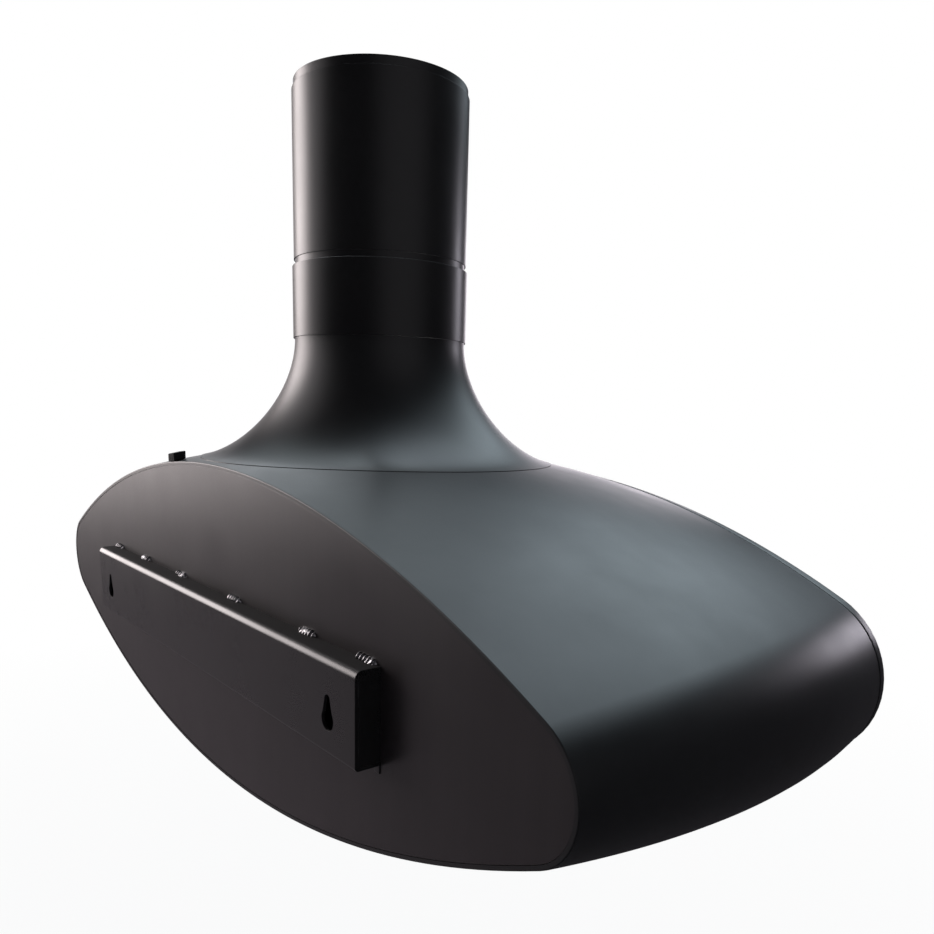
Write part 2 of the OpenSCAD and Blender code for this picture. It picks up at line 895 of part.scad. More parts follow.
module ash_pan() {
    pan_w = grate_w - 30 - 4;
    pan_l = grate_l - 30 - 4;
    rim_w = pan_w + 24;
    rim_l = pan_l + 24;
    z0 = hearth_z + gap;
    color([0.4, 0.4, 0.41])
        difference() {
            union() {
                block(
                    [-rim_w / 2, grate_y - rim_l / 2, z0],
                    [rim_w / 2, grate_y + rim_l / 2, z0 + rim_t]
                );
                block(
                    [-pan_w / 2, grate_y - pan_l / 2, z0 - pan_h],
                    [pan_w / 2, grate_y + pan_l / 2, z0 + 1]
                );
            }
            block(
                [pan_t - pan_w / 2, grate_y - pan_l / 2 + pan_t, z0 - pan_h + pan_t],
                [pan_w / 2 - pan_t, grate_y + pan_l / 2 - pan_t, z0 + rim_t + 1]
            );
        }
}

// A two-bar rail on feet that stops logs rolling against the glass
module log_guard() {
    rod = 5;
    half = side_x - 60;
    y = floor_front_y + 26;
    foot = [50, 40, 5];
    color([0.16, 0.16, 0.17])
        union() {
            for (z = [38, 68])
                bar_x(-half - 15, half + 15, y, floor_z + z, rod);
            for (x = [-half, 0, half]) {
                translate([x, y, floor_z + gap + 1])
                    cylinder(r = rod + 1, h = 78, $fn = fine);
                translate([x - foot.x / 2, y - foot.y / 2, floor_z + gap])
                    cube(foot);
            }
        }
}

// Sheet across the front of the chamber: it closes the tips and the space below the hearth
module inner_frame() {
    t = at_y(frame_front_y);
    tall = sec_h(t);
    color([0.14, 0.14, 0.15])
        slab(frame_back_y, frame_front_y)
            difference() {
                lens_face(t, shell_wall + inner_gap);
                translate([-side_x, floor_z])
                    square([chamber_w, tall]);
            }
}

// ---- front trim ----

// The trim's section is an angle: a rim that pushes into the shell, and a flat face
module front_trim() {
    spigot = 12;
    tuck = shell_wall + inner_gap;
    rim = 4;
    back_t = (shell_l - spigot) / section_l;
    edge_steps = 4;
    color([0.17, 0.17, 0.18])
        difference() {
            loft_loop(concat(
                [ring(shell_t, tuck, shell_front_y)],
                [ring(shell_t, 1 - trim_proud, shell_front_y - gap)],
                [ring(shell_t, -trim_proud, shell_front_y - 1.5)],
                [
                    for (i = [0 : edge_steps])
                        let (a = 90 * i / edge_steps, round_in = trim_edge_r * (1 - cos(a)))
                        ring(1, round_in - trim_proud, front_y + trim_edge_r * (1 - sin(a)))
                ],
                [ring(1, lap_inset, front_y)],
                [ring(1, lap_inset, trim_back_y)],
                [ring(1, trim_edge_r + rim, trim_back_y)],
                [ring(back_t, tuck + rim, shell_front_y + spigot)],
                [ring(back_t, tuck, shell_front_y + spigot)]
            ));
            for (side = [-1, 1], i = [1 : slot_count])
                block(
                    [side * i * slot_pitch - slot_w / 2, front_y - 1, slide_z - slot_h / 2],
                    [side * i * slot_pitch + slot_w / 2, trim_back_y + 1, slide_z + slot_h / 2]
                );
            block(
                [slide_travel / 2 - knob_slot, front_y - 1, slide_z - knob_stem_r - 1],
                [slide_travel / 2 + knob_slot, trim_back_y + 1, slide_z + knob_stem_r + 1]
            );
        }
}

// Flat woven seal on the trim's face, under the door's edge
module door_seal() {
    color([0.5, 0.48, 0.45])
        slab(front_y, front_y - seal_t)
            lens_band(door_margin, door_margin + seal_w);
}

module hinge_ear() {
    difference() {
        union() {
            translate([hinge_y, hinge_z])
                circle(knuckle_r, $fn = fine);
            translate([hinge_y, hinge_z - knuckle_r + 1])
                square([front_y - hinge_y - 1, 2 * knuckle_r - 2]);
        }
        translate([hinge_y, hinge_z])
            circle(hinge_pin_r + run_gap, $fn = fine);
    }
}

module hinge_brackets() {
    color([0.15, 0.15, 0.16])
        for (side = [-1, 1])
            translate([side * hinge_x, 0, 0])
                difference() {
                    union() {
                        block(
                            [-base_w / 2, front_y - base_t, base_low],
                            [base_w / 2, front_y, base_high]
                        );
                        rib(ear_x, ear_x + ear_t)
                            hinge_ear();
                        rib(-ear_x - ear_t, -ear_x)
                            hinge_ear();
                    }
                    for (x = [-1, 1])
                        bar_y(
                            x * (base_w / 2 - 7), hinge_z, screw_r + gap,
                            front_y + 1, front_y - base_t - 1
                        );
                }
}

module hinge_pins() {
    half = ear_x + ear_t;
    color([0.6, 0.6, 0.62])
        for (side = [-1, 1])
            translate([side * hinge_x, 0, 0]) {
                bar_x(-half - 4, half + pin_head_t, hinge_y, hinge_z, hinge_pin_r);
                bar_x(half + gap, half + gap + pin_head_t, hinge_y, hinge_z, pin_head_r);
            }
}

// A round-headed screw pointing into +Y, with its seat at y
module face_screw(x, y, z, l) {
    bar_y(x, z, screw_r, y + l, y - 1);
    bar_y(x, z, screw_head_r, y, y - screw_head_t);
}

module bracket_screws() {
    color([0.35, 0.35, 0.36])
        for (side = [-1, 1], x = [-1, 1])
            face_screw(side * hinge_x + x * (base_w / 2 - 7), front_y - base_t, hinge_z, base_t);
}

// ---- air slide ----

// Two rails behind the trim keep the slide against it
module air_guides() {
    lip = 3;
    deep = slide_y + slide_t + gap + guide_t;
    color([0.4, 0.4, 0.41])
        for (side = [-1, 1]) {
            edge = slide_z + side * (slide_h / 2 + gap);
            z0 = side > 0 ? edge : edge - guide_t;
            z1 = side > 0 ? edge - lip : edge - guide_t;
            union() {
                block([-slide_half, trim_back_y, z0], [slide_half, deep, z0 + guide_t]);
                block([-slide_half, deep - guide_t, z1], [slide_half, deep, z1 + guide_t + lip]);
            }
        }
}

module air_slide() {
    color([0.5, 0.5, 0.52])
        difference() {
            block(
                [-slide_half, slide_y, slide_z - slide_h / 2],
                [slide_half, slide_y + slide_t, slide_z + slide_h / 2]
            );
            for (side = [-1, 1], i = [1 : slot_count])
                block(
                    [side * i * slot_pitch - slot_w / 2, slide_y - 1, slide_z - slot_h / 2],
                    [side * i * slot_pitch + slot_w / 2, slide_y + slide_t + 1, slide_z + slot_h / 2]
                );
        }
}

module air_knob() {
    color([0.15, 0.15, 0.16])
        union() {
            bar_y(0, slide_z, knob_stem_r, slide_y, front_y - knob_out + 1);
            bar_y(0, slide_z, knob_grip_r, front_y - knob_out + knob_grip_l, front_y - knob_out);
        }
}

// ---- door ----

module door_frame() {
    edge_steps = 3;
    round_off = door_margin + door_edge_r;
    color([0.12, 0.12, 0.13])
        difference() {
            loft_loop(concat(
                [ring(1, door_margin, door_back_y)],
                [
                    for (i = [0 : edge_steps])
                        let (a = 90 * i / edge_steps)
                        ring(
                            1,
                            round_off - door_edge_r * cos(a),
                            door_front_y + door_edge_r * (1 - sin(a))
                        )
                ],
                [ring(1, window_inset, door_front_y)],
                [ring(1, window_inset, door_sheet_y)],
                [ring(1, door_margin + door_sheet, door_sheet_y)],
                [ring(1, door_margin + door_sheet, door_back_y)]
            ));
            bar_y(0, latch_z, latch_bush_r, door_back_y, door_front_y - 1);
        }
}

module glass_gasket() {
    color([0.55, 0.53, 0.5])
        slab(glass_front_y, door_sheet_y)
            lens_band(glass_inset, window_inset);
}

module door_glass() {
    color([0.25, 0.27, 0.28, 0.5])
        slab(glass_back_y, glass_front_y)
            lens_face(1, glass_inset);
}

// Clips stand on the frame's rear face and lap over the glass's edge
clip_t = 3;
clip_w = 22;
clip_foot = 11;
clip_lap = 7;
clip_clear = 2;
clip_share = [-0.53, -0.17, 0.17, 0.53];

// Puts the children on the glass's edge, upright there, at a share of the body's half width
module on_glass_edge(share, up) {
    big = sec_big(1, glass_inset);
    turn = asin(share * sec_w(1) / 2 / big);
    translate([0, 0, front_z + up * (sec_h(1) / 2 - glass_inset - big)])
        rotate([0, up * turn, 0])
            translate([0, 0, up * big])
                children();
}

module clip_body(up) {
    outer = clip_clear + clip_foot;
    whole = outer + clip_lap;
    rib(-clip_w / 2, clip_w / 2) {
        translate([door_sheet_y, up > 0 ? clip_clear : -outer])
            square([glass_back_y - door_sheet_y + 1, clip_foot]);
        translate([glass_back_y + gap, up > 0 ? -clip_lap : -outer])
            square([clip_t, whole]);
    }
}

module glass_clips() {
    color([0.45, 0.45, 0.47])
        for (share = clip_share, up = [-1, 1])
            on_glass_edge(share, up)
                clip_body(up);
}

module clip_screws() {
    color([0.6, 0.6, 0.62])
        for (share = clip_share, up = [-1, 1])
            on_glass_edge(share, up)
                translate([0, glass_back_y + gap + clip_t, up * (clip_clear + clip_foot / 2)])
                    rotate([-90, 0, 0])
                        cylinder(r = screw_head_r, h = screw_head_t, $fn = fine);
}

module strap_outline() {
    difference() {
        union() {
            translate([hinge_y, hinge_z])
                circle(knuckle_r, $fn = fine);
            translate([door_front_y - strap_t, hinge_z])
                square([strap_t, strap_top - hinge_z]);
        }
        translate([hinge_y, hinge_z])
            circle(hinge_pin_r + run_gap, $fn = fine);
    }
}

module hinge_straps() {
    color([0.14, 0.14, 0.15])
        for (side = [-1, 1])
            translate([side * hinge_x - knuckle_l / 2, 0, 0])
                rib(0, knuckle_l)
                    strap_outline();
}

module strap_screws() {
    color([0.35, 0.35, 0.36])
        for (side = [-1, 1], x = [-1, 1])
            bar_y(
                side * hinge_x + x * 11, strap_top - 10, screw_head_r,
                door_front_y - strap_t, door_front_y - strap_t - screw_head_t
            );
}

// ---- latch ----

module latch_bush() {
    color([0.7, 0.6, 0.35])
        difference() {
            union() {
                bar_y(0, latch_z, latch_bush_r - run_gap, door_sheet_y, door_front_y - 2);
                bar_y(0, latch_z, latch_flange_r, door_front_y, door_front_y - latch_flange_t);
            }
            bar_y(0, latch_z, spindle_r + run_gap, door_sheet_y + 1, door_front_y - 4);
        }
}

module latch_spindle() {
    color([0.55, 0.55, 0.57])
        bar_y(0, latch_z, spindle_r, cam_y + cam_t, handle_y);
}

// The cam points sideways when the door is free, and up behind the trim when it is latched
module latch_cam() {
    color([0.45, 0.45, 0.46])
        difference() {
            union() {
                bar_y(0, latch_z, cam_w / 2, cam_y + cam_t, cam_y);
                block(
                    [0, cam_y, latch_z - cam_w / 2 + 1],
                    [cam_l, cam_y + cam_t, latch_z + cam_w / 2 - 1]
                );
            }
            bar_y(0, latch_z, spindle_r, cam_y + cam_t + 1, cam_y - 1);
        }
}

module door_handle() {
    color([0.16, 0.16, 0.17])
        difference() {
            union() {
                bar_y(0, latch_z, handle_r + 2, handle_y + 14, handle_y - 2);
                bar_x(0, handle_l, handle_y + 6, latch_z, handle_r);
                translate([handle_l, handle_y + 6, latch_z])
                    sphere(r = handle_r + 2, $fn = fine);
            }
            bar_y(0, latch_z, spindle_r, handle_y + 15, handle_y);
        }
}

body_shell();
back_plate();
wall_bracket();
bracket_end_caps();
weld_beads();
rear_lug();
flue_flare();
damper_collar();
flue_pipe();
damper_bush_front();
damper_bush_rear();
damper_shaft();
damper_flap();
flap_clamps();
damper_lever();
lever_knob();
smoke_baffle();
baffle_hangers();
hanger_nuts();
heat_shield();
shield_studs();
shield_spacers();
shield_nuts();
back_brick_left();
back_brick_middle();
back_brick_right();
side_brick_left();
side_brick_right();
hearth_plate();
hearth_rails();
floor_brick_left();
floor_brick_right();
floor_brick_rear();
floor_brick_front();
grate();
ash_pan();
log_guard();
inner_frame();
front_trim();
door_seal();
hinge_brackets();
hinge_pins();
bracket_screws();
air_guides();
air_slide();
air_knob();
door_frame();
door_glass();
glass_gasket();
glass_clips();
clip_screws();
hinge_straps();
strap_screws();
latch_bush();
latch_spindle();
latch_cam();
door_handle();
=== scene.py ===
# %% [markdown]
# A wall-hung steel fireplace, seen from behind and to one side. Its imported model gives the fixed
# frame: every piece made here sits where that model says, in metres, with +X to the right of
# somebody facing the fire, +Y into the wall and +Z up.
# The cells run in order: first the tools that shape and paint, then the pieces from the large
# steel body down to the screws, then the light, the floor and the camera.

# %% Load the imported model
import bmesh
import bpy
import math
from mathutils import Matrix, Vector
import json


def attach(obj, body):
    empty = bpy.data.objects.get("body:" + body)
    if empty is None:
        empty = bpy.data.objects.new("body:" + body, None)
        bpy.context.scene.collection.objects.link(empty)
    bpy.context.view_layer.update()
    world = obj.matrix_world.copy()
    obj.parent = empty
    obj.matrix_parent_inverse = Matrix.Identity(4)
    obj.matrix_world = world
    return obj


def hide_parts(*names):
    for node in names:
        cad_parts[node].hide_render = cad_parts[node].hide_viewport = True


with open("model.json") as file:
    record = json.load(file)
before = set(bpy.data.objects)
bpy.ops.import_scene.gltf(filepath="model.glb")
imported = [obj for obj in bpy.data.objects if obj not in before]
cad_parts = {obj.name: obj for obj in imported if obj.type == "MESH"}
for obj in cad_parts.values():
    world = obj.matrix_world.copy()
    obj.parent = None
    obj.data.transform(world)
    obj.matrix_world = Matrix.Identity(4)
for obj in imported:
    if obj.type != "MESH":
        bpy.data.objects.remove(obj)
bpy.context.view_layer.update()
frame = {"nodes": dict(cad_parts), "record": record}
MM = 0.001

# %% [markdown]
# The body is a lens: two long arcs of one radius joined by a small round tip at each side. Its
# width, height, tips and middle line change smoothly from the wall to the front. A subdivided
# cage could come close, but a reflection shows every dent in a satin black surface, so the
# sections are worked out from their arcs and a ring of vertices is carried through them.

# %% The body's section at any depth, in millimetres
STANDOFF, SHELL_L, TRIM_L, WALL = 30, 610, 25, 5
DEPTH = SHELL_L + TRIM_L
WIDTH, HEIGHT, TIP, DROP = (1404, 1407, 1290), (443, 537, 474), (72, 106, 116), (0, 19, 38)
TIP_STEPS, ARC_STEPS = 20, 64


def bow(three, t):
    a, b, c = three
    return a + (4 * b - 3 * a - c) * t + 2 * (a - 2 * b + c) * t * t


def depth_of(y):
    return (-y - STANDOFF) / DEPTH


def section(t, inset):
    """Width, height, tip radius, long radius and middle height of the lens at a depth."""
    w, h, r = bow(WIDTH, t) - 2 * inset, bow(HEIGHT, t) - 2 * inset, bow(TIP, t) - inset
    return w, h, r, ((w / 2 - r) ** 2 + h * h / 4 - r * r) / (h - 2 * r), -bow(DROP, t)


def lens_ring(t, inset, y):
    """The lens outline as points in metres."""
    w, h, r, big, z = section(t, inset)
    turn, side, low = math.atan2(big - h / 2, w / 2 - r), w / 2 - r, h / 2 - big
    arcs = (
        (side, 0, r, -turn, turn, TIP_STEPS),
        (0, low, big, turn, math.pi - turn, ARC_STEPS),
        (-side, 0, r, math.pi - turn, math.pi + turn, TIP_STEPS),
        (0, -low, big, math.pi + turn, 2 * math.pi - turn, ARC_STEPS),
    )
    points = []
    for cx, cz, radius, start, stop, steps in arcs:
        for i in range(steps):
            a = start + (stop - start) * i / steps
            place = cx + radius * math.cos(a), y, z + cz + radius * math.sin(a)
            points.append(Vector(place) * MM)
    return points


def roof_z(x, y):
    """Height of the body's upper surface, in millimetres."""
    _, h, _, big, z = section(depth_of(y), 0)
    return z + h / 2 - big + math.sqrt(big * big - x * x)


print("section at the wall:", [round(v) for v in section(0, 0)])

# %% [markdown]
# The shaping tools. A loft carries one ring of vertices along by extruding its edges, a lathe
# spins a profile, and a slab fills an outline and pushes it forwards. Real sheet edges are never
# knife sharp, so the slab and the lathe end by breaking the hard edges with a small bevel, which
# is what catches the light on dark metal.

# %% Tools: edges, normals and objects
def hard_edges(bm, degrees=28):
    limit = math.radians(degrees)
    return [e for e in bm.edges if len(e.link_faces) == 2 and e.calc_face_angle(0) > limit]


def soften(bm, width, segments=2, degrees=28):
    """Breaks every edge that is sharper than the limit."""
    bmesh.ops.bevel(
        bm, geom=hard_edges(bm, degrees), offset=width * MM, offset_type="OFFSET", affect="EDGES",
        segments=segments, profile=0.5, material=-1, clamp_overlap=True,
    )


def to_object(name, bm, smooth_degrees=30, recalculate=True):
    if recalculate:
        bmesh.ops.recalc_face_normals(bm, faces=bm.faces)
    mesh = bpy.data.meshes.new(name)
    bm.to_mesh(mesh)
    bm.free()
    mesh.shade_smooth()
    mesh.set_sharp_from_angle(angle=math.radians(smooth_degrees))
    piece = bpy.data.objects.new(name, mesh)
    bpy.context.scene.collection.objects.link(piece)
    return even(piece)


def even(piece):
    """Lets the broad faces rule the shading, so that only the narrow bevels look round."""
    broad = piece.modifiers.new("broad faces", "WEIGHTED_NORMAL")
    broad.mode, broad.weight, broad.keep_sharp = "FACE_AREA", 60, True
    return piece


def cut(piece, cutters):
    """Takes the cutters out of a piece and removes them."""
    for cutter in cutters:
        tool = piece.modifiers.new("cut", "BOOLEAN")
        tool.operation, tool.solver, tool.object = "DIFFERENCE", "EXACT", cutter
    piece.modifiers.remove(piece.modifiers["broad faces"])
    bpy.context.view_layer.update()
    evaluated = piece.evaluated_get(bpy.context.evaluated_depsgraph_get())
    mesh = bpy.data.meshes.new_from_object(evaluated)
    piece.modifiers.clear()
    piece.data = mesh
    mesh.shade_smooth()
    mesh.set_sharp_from_angle(angle=math.radians(30))
    for cutter in cutters:
        bpy.data.objects.remove(cutter)
    return even(piece)


# %% Tools: loft, lathe, slab, rod and box
def extrude_ring(bm, verts, edges, points):
    """Extrudes a closed ring of edges and moves the new vertices to the next outline."""
    grown = bmesh.ops.extrude_edge_only(bm, edges=edges)["geom"]
    new = {g for g in grown if isinstance(g, bmesh.types.BMVert)}
    rim = [g for g in grown if isinstance(g, bmesh.types.BMEdge) and set(g.verts) <= new]
    verts = [next(e.other_vert(v) for e in v.link_edges if e.other_vert(v) in new) for v in verts]
    for v, p in zip(verts, points):
        v.co = p
    return verts, rim


def loft(name, rings, smooth_degrees=30):
    """A tube through the rings that closes on its first ring."""
    bm = bmesh.new()
    verts = bmesh.ops.create_circle(bm, radius=1, segments=len(rings[0]))["verts"]
    for v, p in zip(verts, rings[0]):
        v.co = p
    edges = list(bm.edges)
    for points in rings[1:] + rings[:1]:
        verts, edges = extrude_ring(bm, verts, edges, points)
    bmesh.ops.remove_doubles(bm, verts=bm.verts, dist=1e-7)
    return to_object(name, bm, smooth_degrees)


def slab(name, outline, depth, edge, hole=None):
    """Fills an outline, pushes it along Y by depth, and breaks its edges."""
    bm = bmesh.new()
    filled, count = hole is None, len(outline)
    verts = bmesh.ops.create_circle(bm, cap_ends=filled, radius=1, segments=count)["verts"]
    for v, p in zip(verts, outline):
        v.co = p
    if hole:
        extrude_ring(bm, verts, list(bm.edges), hole)
    face = bmesh.ops.extrude_face_region(bm, geom=list(bm.faces))["geom"]
    moved = [g for g in face if isinstance(g, bmesh.types.BMVert)]
    bmesh.ops.translate(bm, verts=moved, vec=(0, depth * MM, 0))
    bmesh.ops.recalc_face_normals(bm, faces=bm.faces)
    soften(bm, edge, degrees=60)
    return to_object(name, bm)


def spun(bm, profile, steps):
    """Spins a closed profile of (radius, height) in millimetres about the Z axis."""
    verts = [bm.verts.new((r * MM, 0, z * MM)) for r, z in profile]
    edges = [bm.edges.new((verts[i - 1], verts[i])) for i in range(len(verts))]
    bmesh.ops.spin(
        bm, geom=verts + edges, cent=(0, 0, 0), axis=(0, 0, 1), angle=2 * math.pi,
        steps=steps, use_merge=True,
    )
    bmesh.ops.remove_doubles(bm, verts=bm.verts, dist=1e-6)


def lathe(name, profile, place, steps=144, edge=0.4, degrees=28):
    bm = bmesh.new()
    spun(bm, profile, steps)
    bmesh.ops.recalc_face_normals(bm, faces=bm.faces)
    if edge:
        soften(bm, edge, degrees=degrees)
    bmesh.ops.transform(bm, matrix=place, verts=bm.verts)
    return to_object(name, bm)


def rod(name, radius, z0, z1, place, segments=96):
    bm = bmesh.new()
    bmesh.ops.create_cone(
        bm, cap_ends=True, segments=segments, radius1=radius * MM, radius2=radius * MM,
        depth=(z1 - z0) * MM, matrix=Matrix.Translation((0, 0, (z0 + z1) / 2 * MM)),
    )
    bmesh.ops.transform(bm, matrix=place, verts=bm.verts)
    return to_object(name, bm)


def box(name, low, high):
    bm = bmesh.new()
    size = [(b - a) * MM for a, b in zip(low, high)]
    middle = [(a + b) / 2 * MM for a, b in zip(low, high)]
    place = Matrix.Translation(middle) @ Matrix.Diagonal((*size, 1))
    bmesh.ops.create_cube(bm, size=1, matrix=place)
    return to_object(name, bm)


# %% Tools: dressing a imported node
BODY_OF = {n: b for b, names in frame["record"]["behaviour"]["bodies"].items() for n in names}
SLOT_OF = {s["node"]: s["material_slot"] for s in frame["record"]["subparts"]}
MADE = {}


def settle(piece, *nodes):
    """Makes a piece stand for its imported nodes: same body, same finish."""
    slot = SLOT_OF[nodes[0]]
    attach(piece, BODY_OF[nodes[0]])
    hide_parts(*nodes)
    MADE[piece.name] = slot
    return piece


def dress(node, edge, segments=2):
    """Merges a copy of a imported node's loose triangles and breaks its edges."""
    bm = bmesh.new()
    bm.from_mesh(frame["nodes"][node].data)
    bmesh.ops.remove_doubles(bm, verts=bm.verts, dist=2e-6)
    bmesh.ops.dissolve_limit(bm, angle_limit=math.radians(0.4), verts=bm.verts, edges=bm.edges)
    soften(bm, edge, segments)
    return settle(to_object(node + "_dressed", bm, recalculate=False), node)


# %% [markdown]
# The shell is one rolled and welded jacket, 5 mm thick. Its rear rim frames the back plate and
# reads as a thin pale lip in the light, so the rim gets its own rounding. A round hole in the
# roof lets the smoke into the flue; the hole is cut with a boolean, because its edge is hidden
# under the flare and never has to be pretty.

# %% Shell
PIPE_Y, PIPE_R, FLARE_R = -306, 126.5, 266
shell_t = SHELL_L / DEPTH
shell_front = -STANDOFF - SHELL_L


def rim_round(t, y, inward, radius, steps=3):
    """Rings that turn a rim's corner; inward is -1 at the wall end and 1 at the front."""
    turns = [math.pi / 2 * i / steps for i in range(steps + 1)]
    return [
        lens_ring(t, radius * (1 - math.cos(a)), y + inward * radius * (1 - math.sin(a)))
        for a in turns
    ]


DEPTH_STEPS, INSIDE_BOX, REAR_ROUND, FRONT_ROUND = 30, 0.15, 1.2, 0.8
HOLE_R, HOLE_Z = FLARE_R - 36, (60, 400)
outer = [
    lens_ring(shell_t * i / DEPTH_STEPS, INSIDE_BOX, -STANDOFF - SHELL_L * i / DEPTH_STEPS)
    for i in range(1, DEPTH_STEPS)
]
inner = [
    lens_ring(shell_t * i / DEPTH_STEPS, WALL, -STANDOFF - SHELL_L * i / DEPTH_STEPS)
    for i in range(DEPTH_STEPS, -1, -1)
]
rear_rim = rim_round(0, -STANDOFF, -1, REAR_ROUND)[::-1]
front_rim = rim_round(shell_t, shell_front, 1, FRONT_ROUND)
shell = loft("body_shell_jacket", rear_rim + outer + front_rim + inner)
flue_place = Matrix.Translation((0, PIPE_Y * MM, 0))
cut(shell, [rod("hole", HOLE_R, *HOLE_Z, flue_place)])
settle(shell, "body_shell")
print("shell:", len(shell.data.polygons), "faces")

# %% [markdown]
# The flare is a spun skirt: straight where it leaves the neck and flat where it lands on the
# curved roof, so each of its points takes its height from the roof below it. The foot's edge
# is rounded underneath, which leaves the fine dark seam that runs round it.

# %% Flare
NECK_TOP, FLARE_START, FLARE_WALL, SEAT, FULLNESS = 429, 397, 2.5, 0.15, 1.12
FOOT_WALL, FLARE_STEPS, FLARE_N = 1.0, 30, 160


def flare_point(a, turn, inner):
    """A point of the skirt; its sheet is planed down towards the foot, to lie close."""
    wall = FLARE_WALL + (FOOT_WALL - FLARE_WALL) * math.sin(a) ** 6
    sheet = wall if inner else 0
    r = PIPE_R + (FLARE_R - PIPE_R) * (1 - math.cos(a))
    seat = roof_z(r * math.cos(turn), PIPE_Y + r * math.sin(turn)) + wall + SEAT
    z = seat + (FLARE_START - seat) * (1 - math.sin(a) ** FULLNESS)
    r -= sheet * math.cos(a)
    return Vector((r * math.cos(turn), PIPE_Y + r * math.sin(turn), z - sheet * math.sin(a))) * MM


def flare_ring(a, inner=False):
    return [flare_point(a, 2 * math.pi * j / FLARE_N, inner) for j in range(FLARE_N)]


def neck_ring(radius, z):
    turns = [2 * math.pi * j / FLARE_N for j in range(FLARE_N)]
    return [Vector((radius * math.cos(a), PIPE_Y + radius * math.sin(a), z)) * MM for a in turns]


steps = [math.pi / 2 * i / FLARE_STEPS for i in range(FLARE_STEPS + 1)]
skirt = [neck_ring(PIPE_R, NECK_TOP - h) for h in (0, 12)]
skirt += [flare_ring(a) for a in steps]
foot_edge = flare_ring(math.pi / 2)
skirt += [flare_ring(a, True) for a in steps[::-1]]
skirt.append(neck_ring(PIPE_R - FLARE_WALL, NECK_TOP))
flare = settle(loft("flue_flare_skirt", skirt), "flue_flare")
foot_heights = [p.z for p in foot_edge]
print("flare foot from", round(min(foot_heights), 3), "to", round(max(foot_heights), 3))

# %% [markdown]
# The flue above it is two lengths of thin black tube. Each has a shoulder near its top that
# narrows it to a male end; the upper length stops short of the shoulder below, so a narrow
# neck shows as a double line. A spun profile gives all of that in one outline. Mirrored rays
# pass through the flue, because its black reflection would put out the sheen of the roof.

# %% Collar and pipe
COLLAR_LOW, COLLAR_TOP, COLLAR_END, PIPE_LOW, PIPE_TOP = 399, 500, 539, 509, 747
COLLAR_R, SHEET, MALE, MALE_L, EDGE = 128.8, 2, (124.2, 122.2), 12, 0.7
collar_profile = [
    (COLLAR_R - SHEET, COLLAR_LOW), (COLLAR_R, COLLAR_LOW), (COLLAR_R, COLLAR_TOP),
    (MALE[0], COLLAR_TOP), (MALE[0], COLLAR_END), (MALE[1], COLLAR_END),
    (MALE[1], COLLAR_TOP - SHEET), (COLLAR_R - SHEET, COLLAR_TOP - SHEET),
]
pipe_profile = [
    (PIPE_R - SHEET, PIPE_LOW), (PIPE_R, PIPE_LOW), (PIPE_R, PIPE_TOP - MALE_L),
    (MALE[0], PIPE_TOP - MALE_L), (MALE[0], PIPE_TOP), (MALE[1], PIPE_TOP),
    (MALE[1], PIPE_TOP - MALE_L - SHEET), (PIPE_R - SHEET, PIPE_TOP - MALE_L - SHEET),
]
collar = lathe("damper_collar_tube", collar_profile, flue_place, edge=EDGE)
pipe = lathe("flue_pipe_tube", pipe_profile, flue_place, edge=EDGE)
DAMPER_Z, BUSH_R = 464.5, 9.05
damper_place = (
    Matrix.Translation((0, PIPE_Y * MM, DAMPER_Z * MM))
    @ Matrix.Rotation(-math.pi / 4, 4, "Z")
    @ Matrix.Rotation(math.pi / 2, 4, "Y")
)
cut(collar, [rod("bore", BUSH_R, 115, 132, damper_place, 48)])
settle(collar, "damper_collar")
settle(pipe, "flue_pipe")
for tube in (flare, collar, pipe):
    tube.visible_glossy = False

# %% [markdown]
# The back plate is flat cut sheet. It lies almost level with the rim and fits it closely, so
# only its broken edge shows as a fine line. It is filled from the same lens outline and given
# depth, rather than modelled as a curved face, because a flat plate shows one broad reflection.

# %% Back plate
PLATE_Y, PLATE_BACK, PLATE_GAP = -30.5, -38, 0.3
plate_outline = lens_ring(depth_of(PLATE_Y), WALL + PLATE_GAP, PLATE_Y)
plate = slab("back_plate_sheet", plate_outline, PLATE_BACK - PLATE_Y, edge=0.4)
settle(plate, "back_plate")
print("plate:", len(plate.data.polygons), "faces")

# %% [markdown]
# The stitch welds that hold the bracket are bare metal. A welder's bead is a row of overlapping
# drops, each a crescent, and it tapers at both ends. One sphere is stretched along the corner,
# its rings are swollen drop by drop, and two cuts leave the quarter that fills the corner.

# %% Weld beads
BRACKET_L, BRACKET_UP, BRACKET_DOWN = 850, 48, 59
BEAD_SHARE = (0.945, 0.631, 0.266, -0.179, -0.647, -0.941)
BEAD_L, BEAD_R, DROP_L, LOW_SHARE = 38, 7, 6.2, 0.9


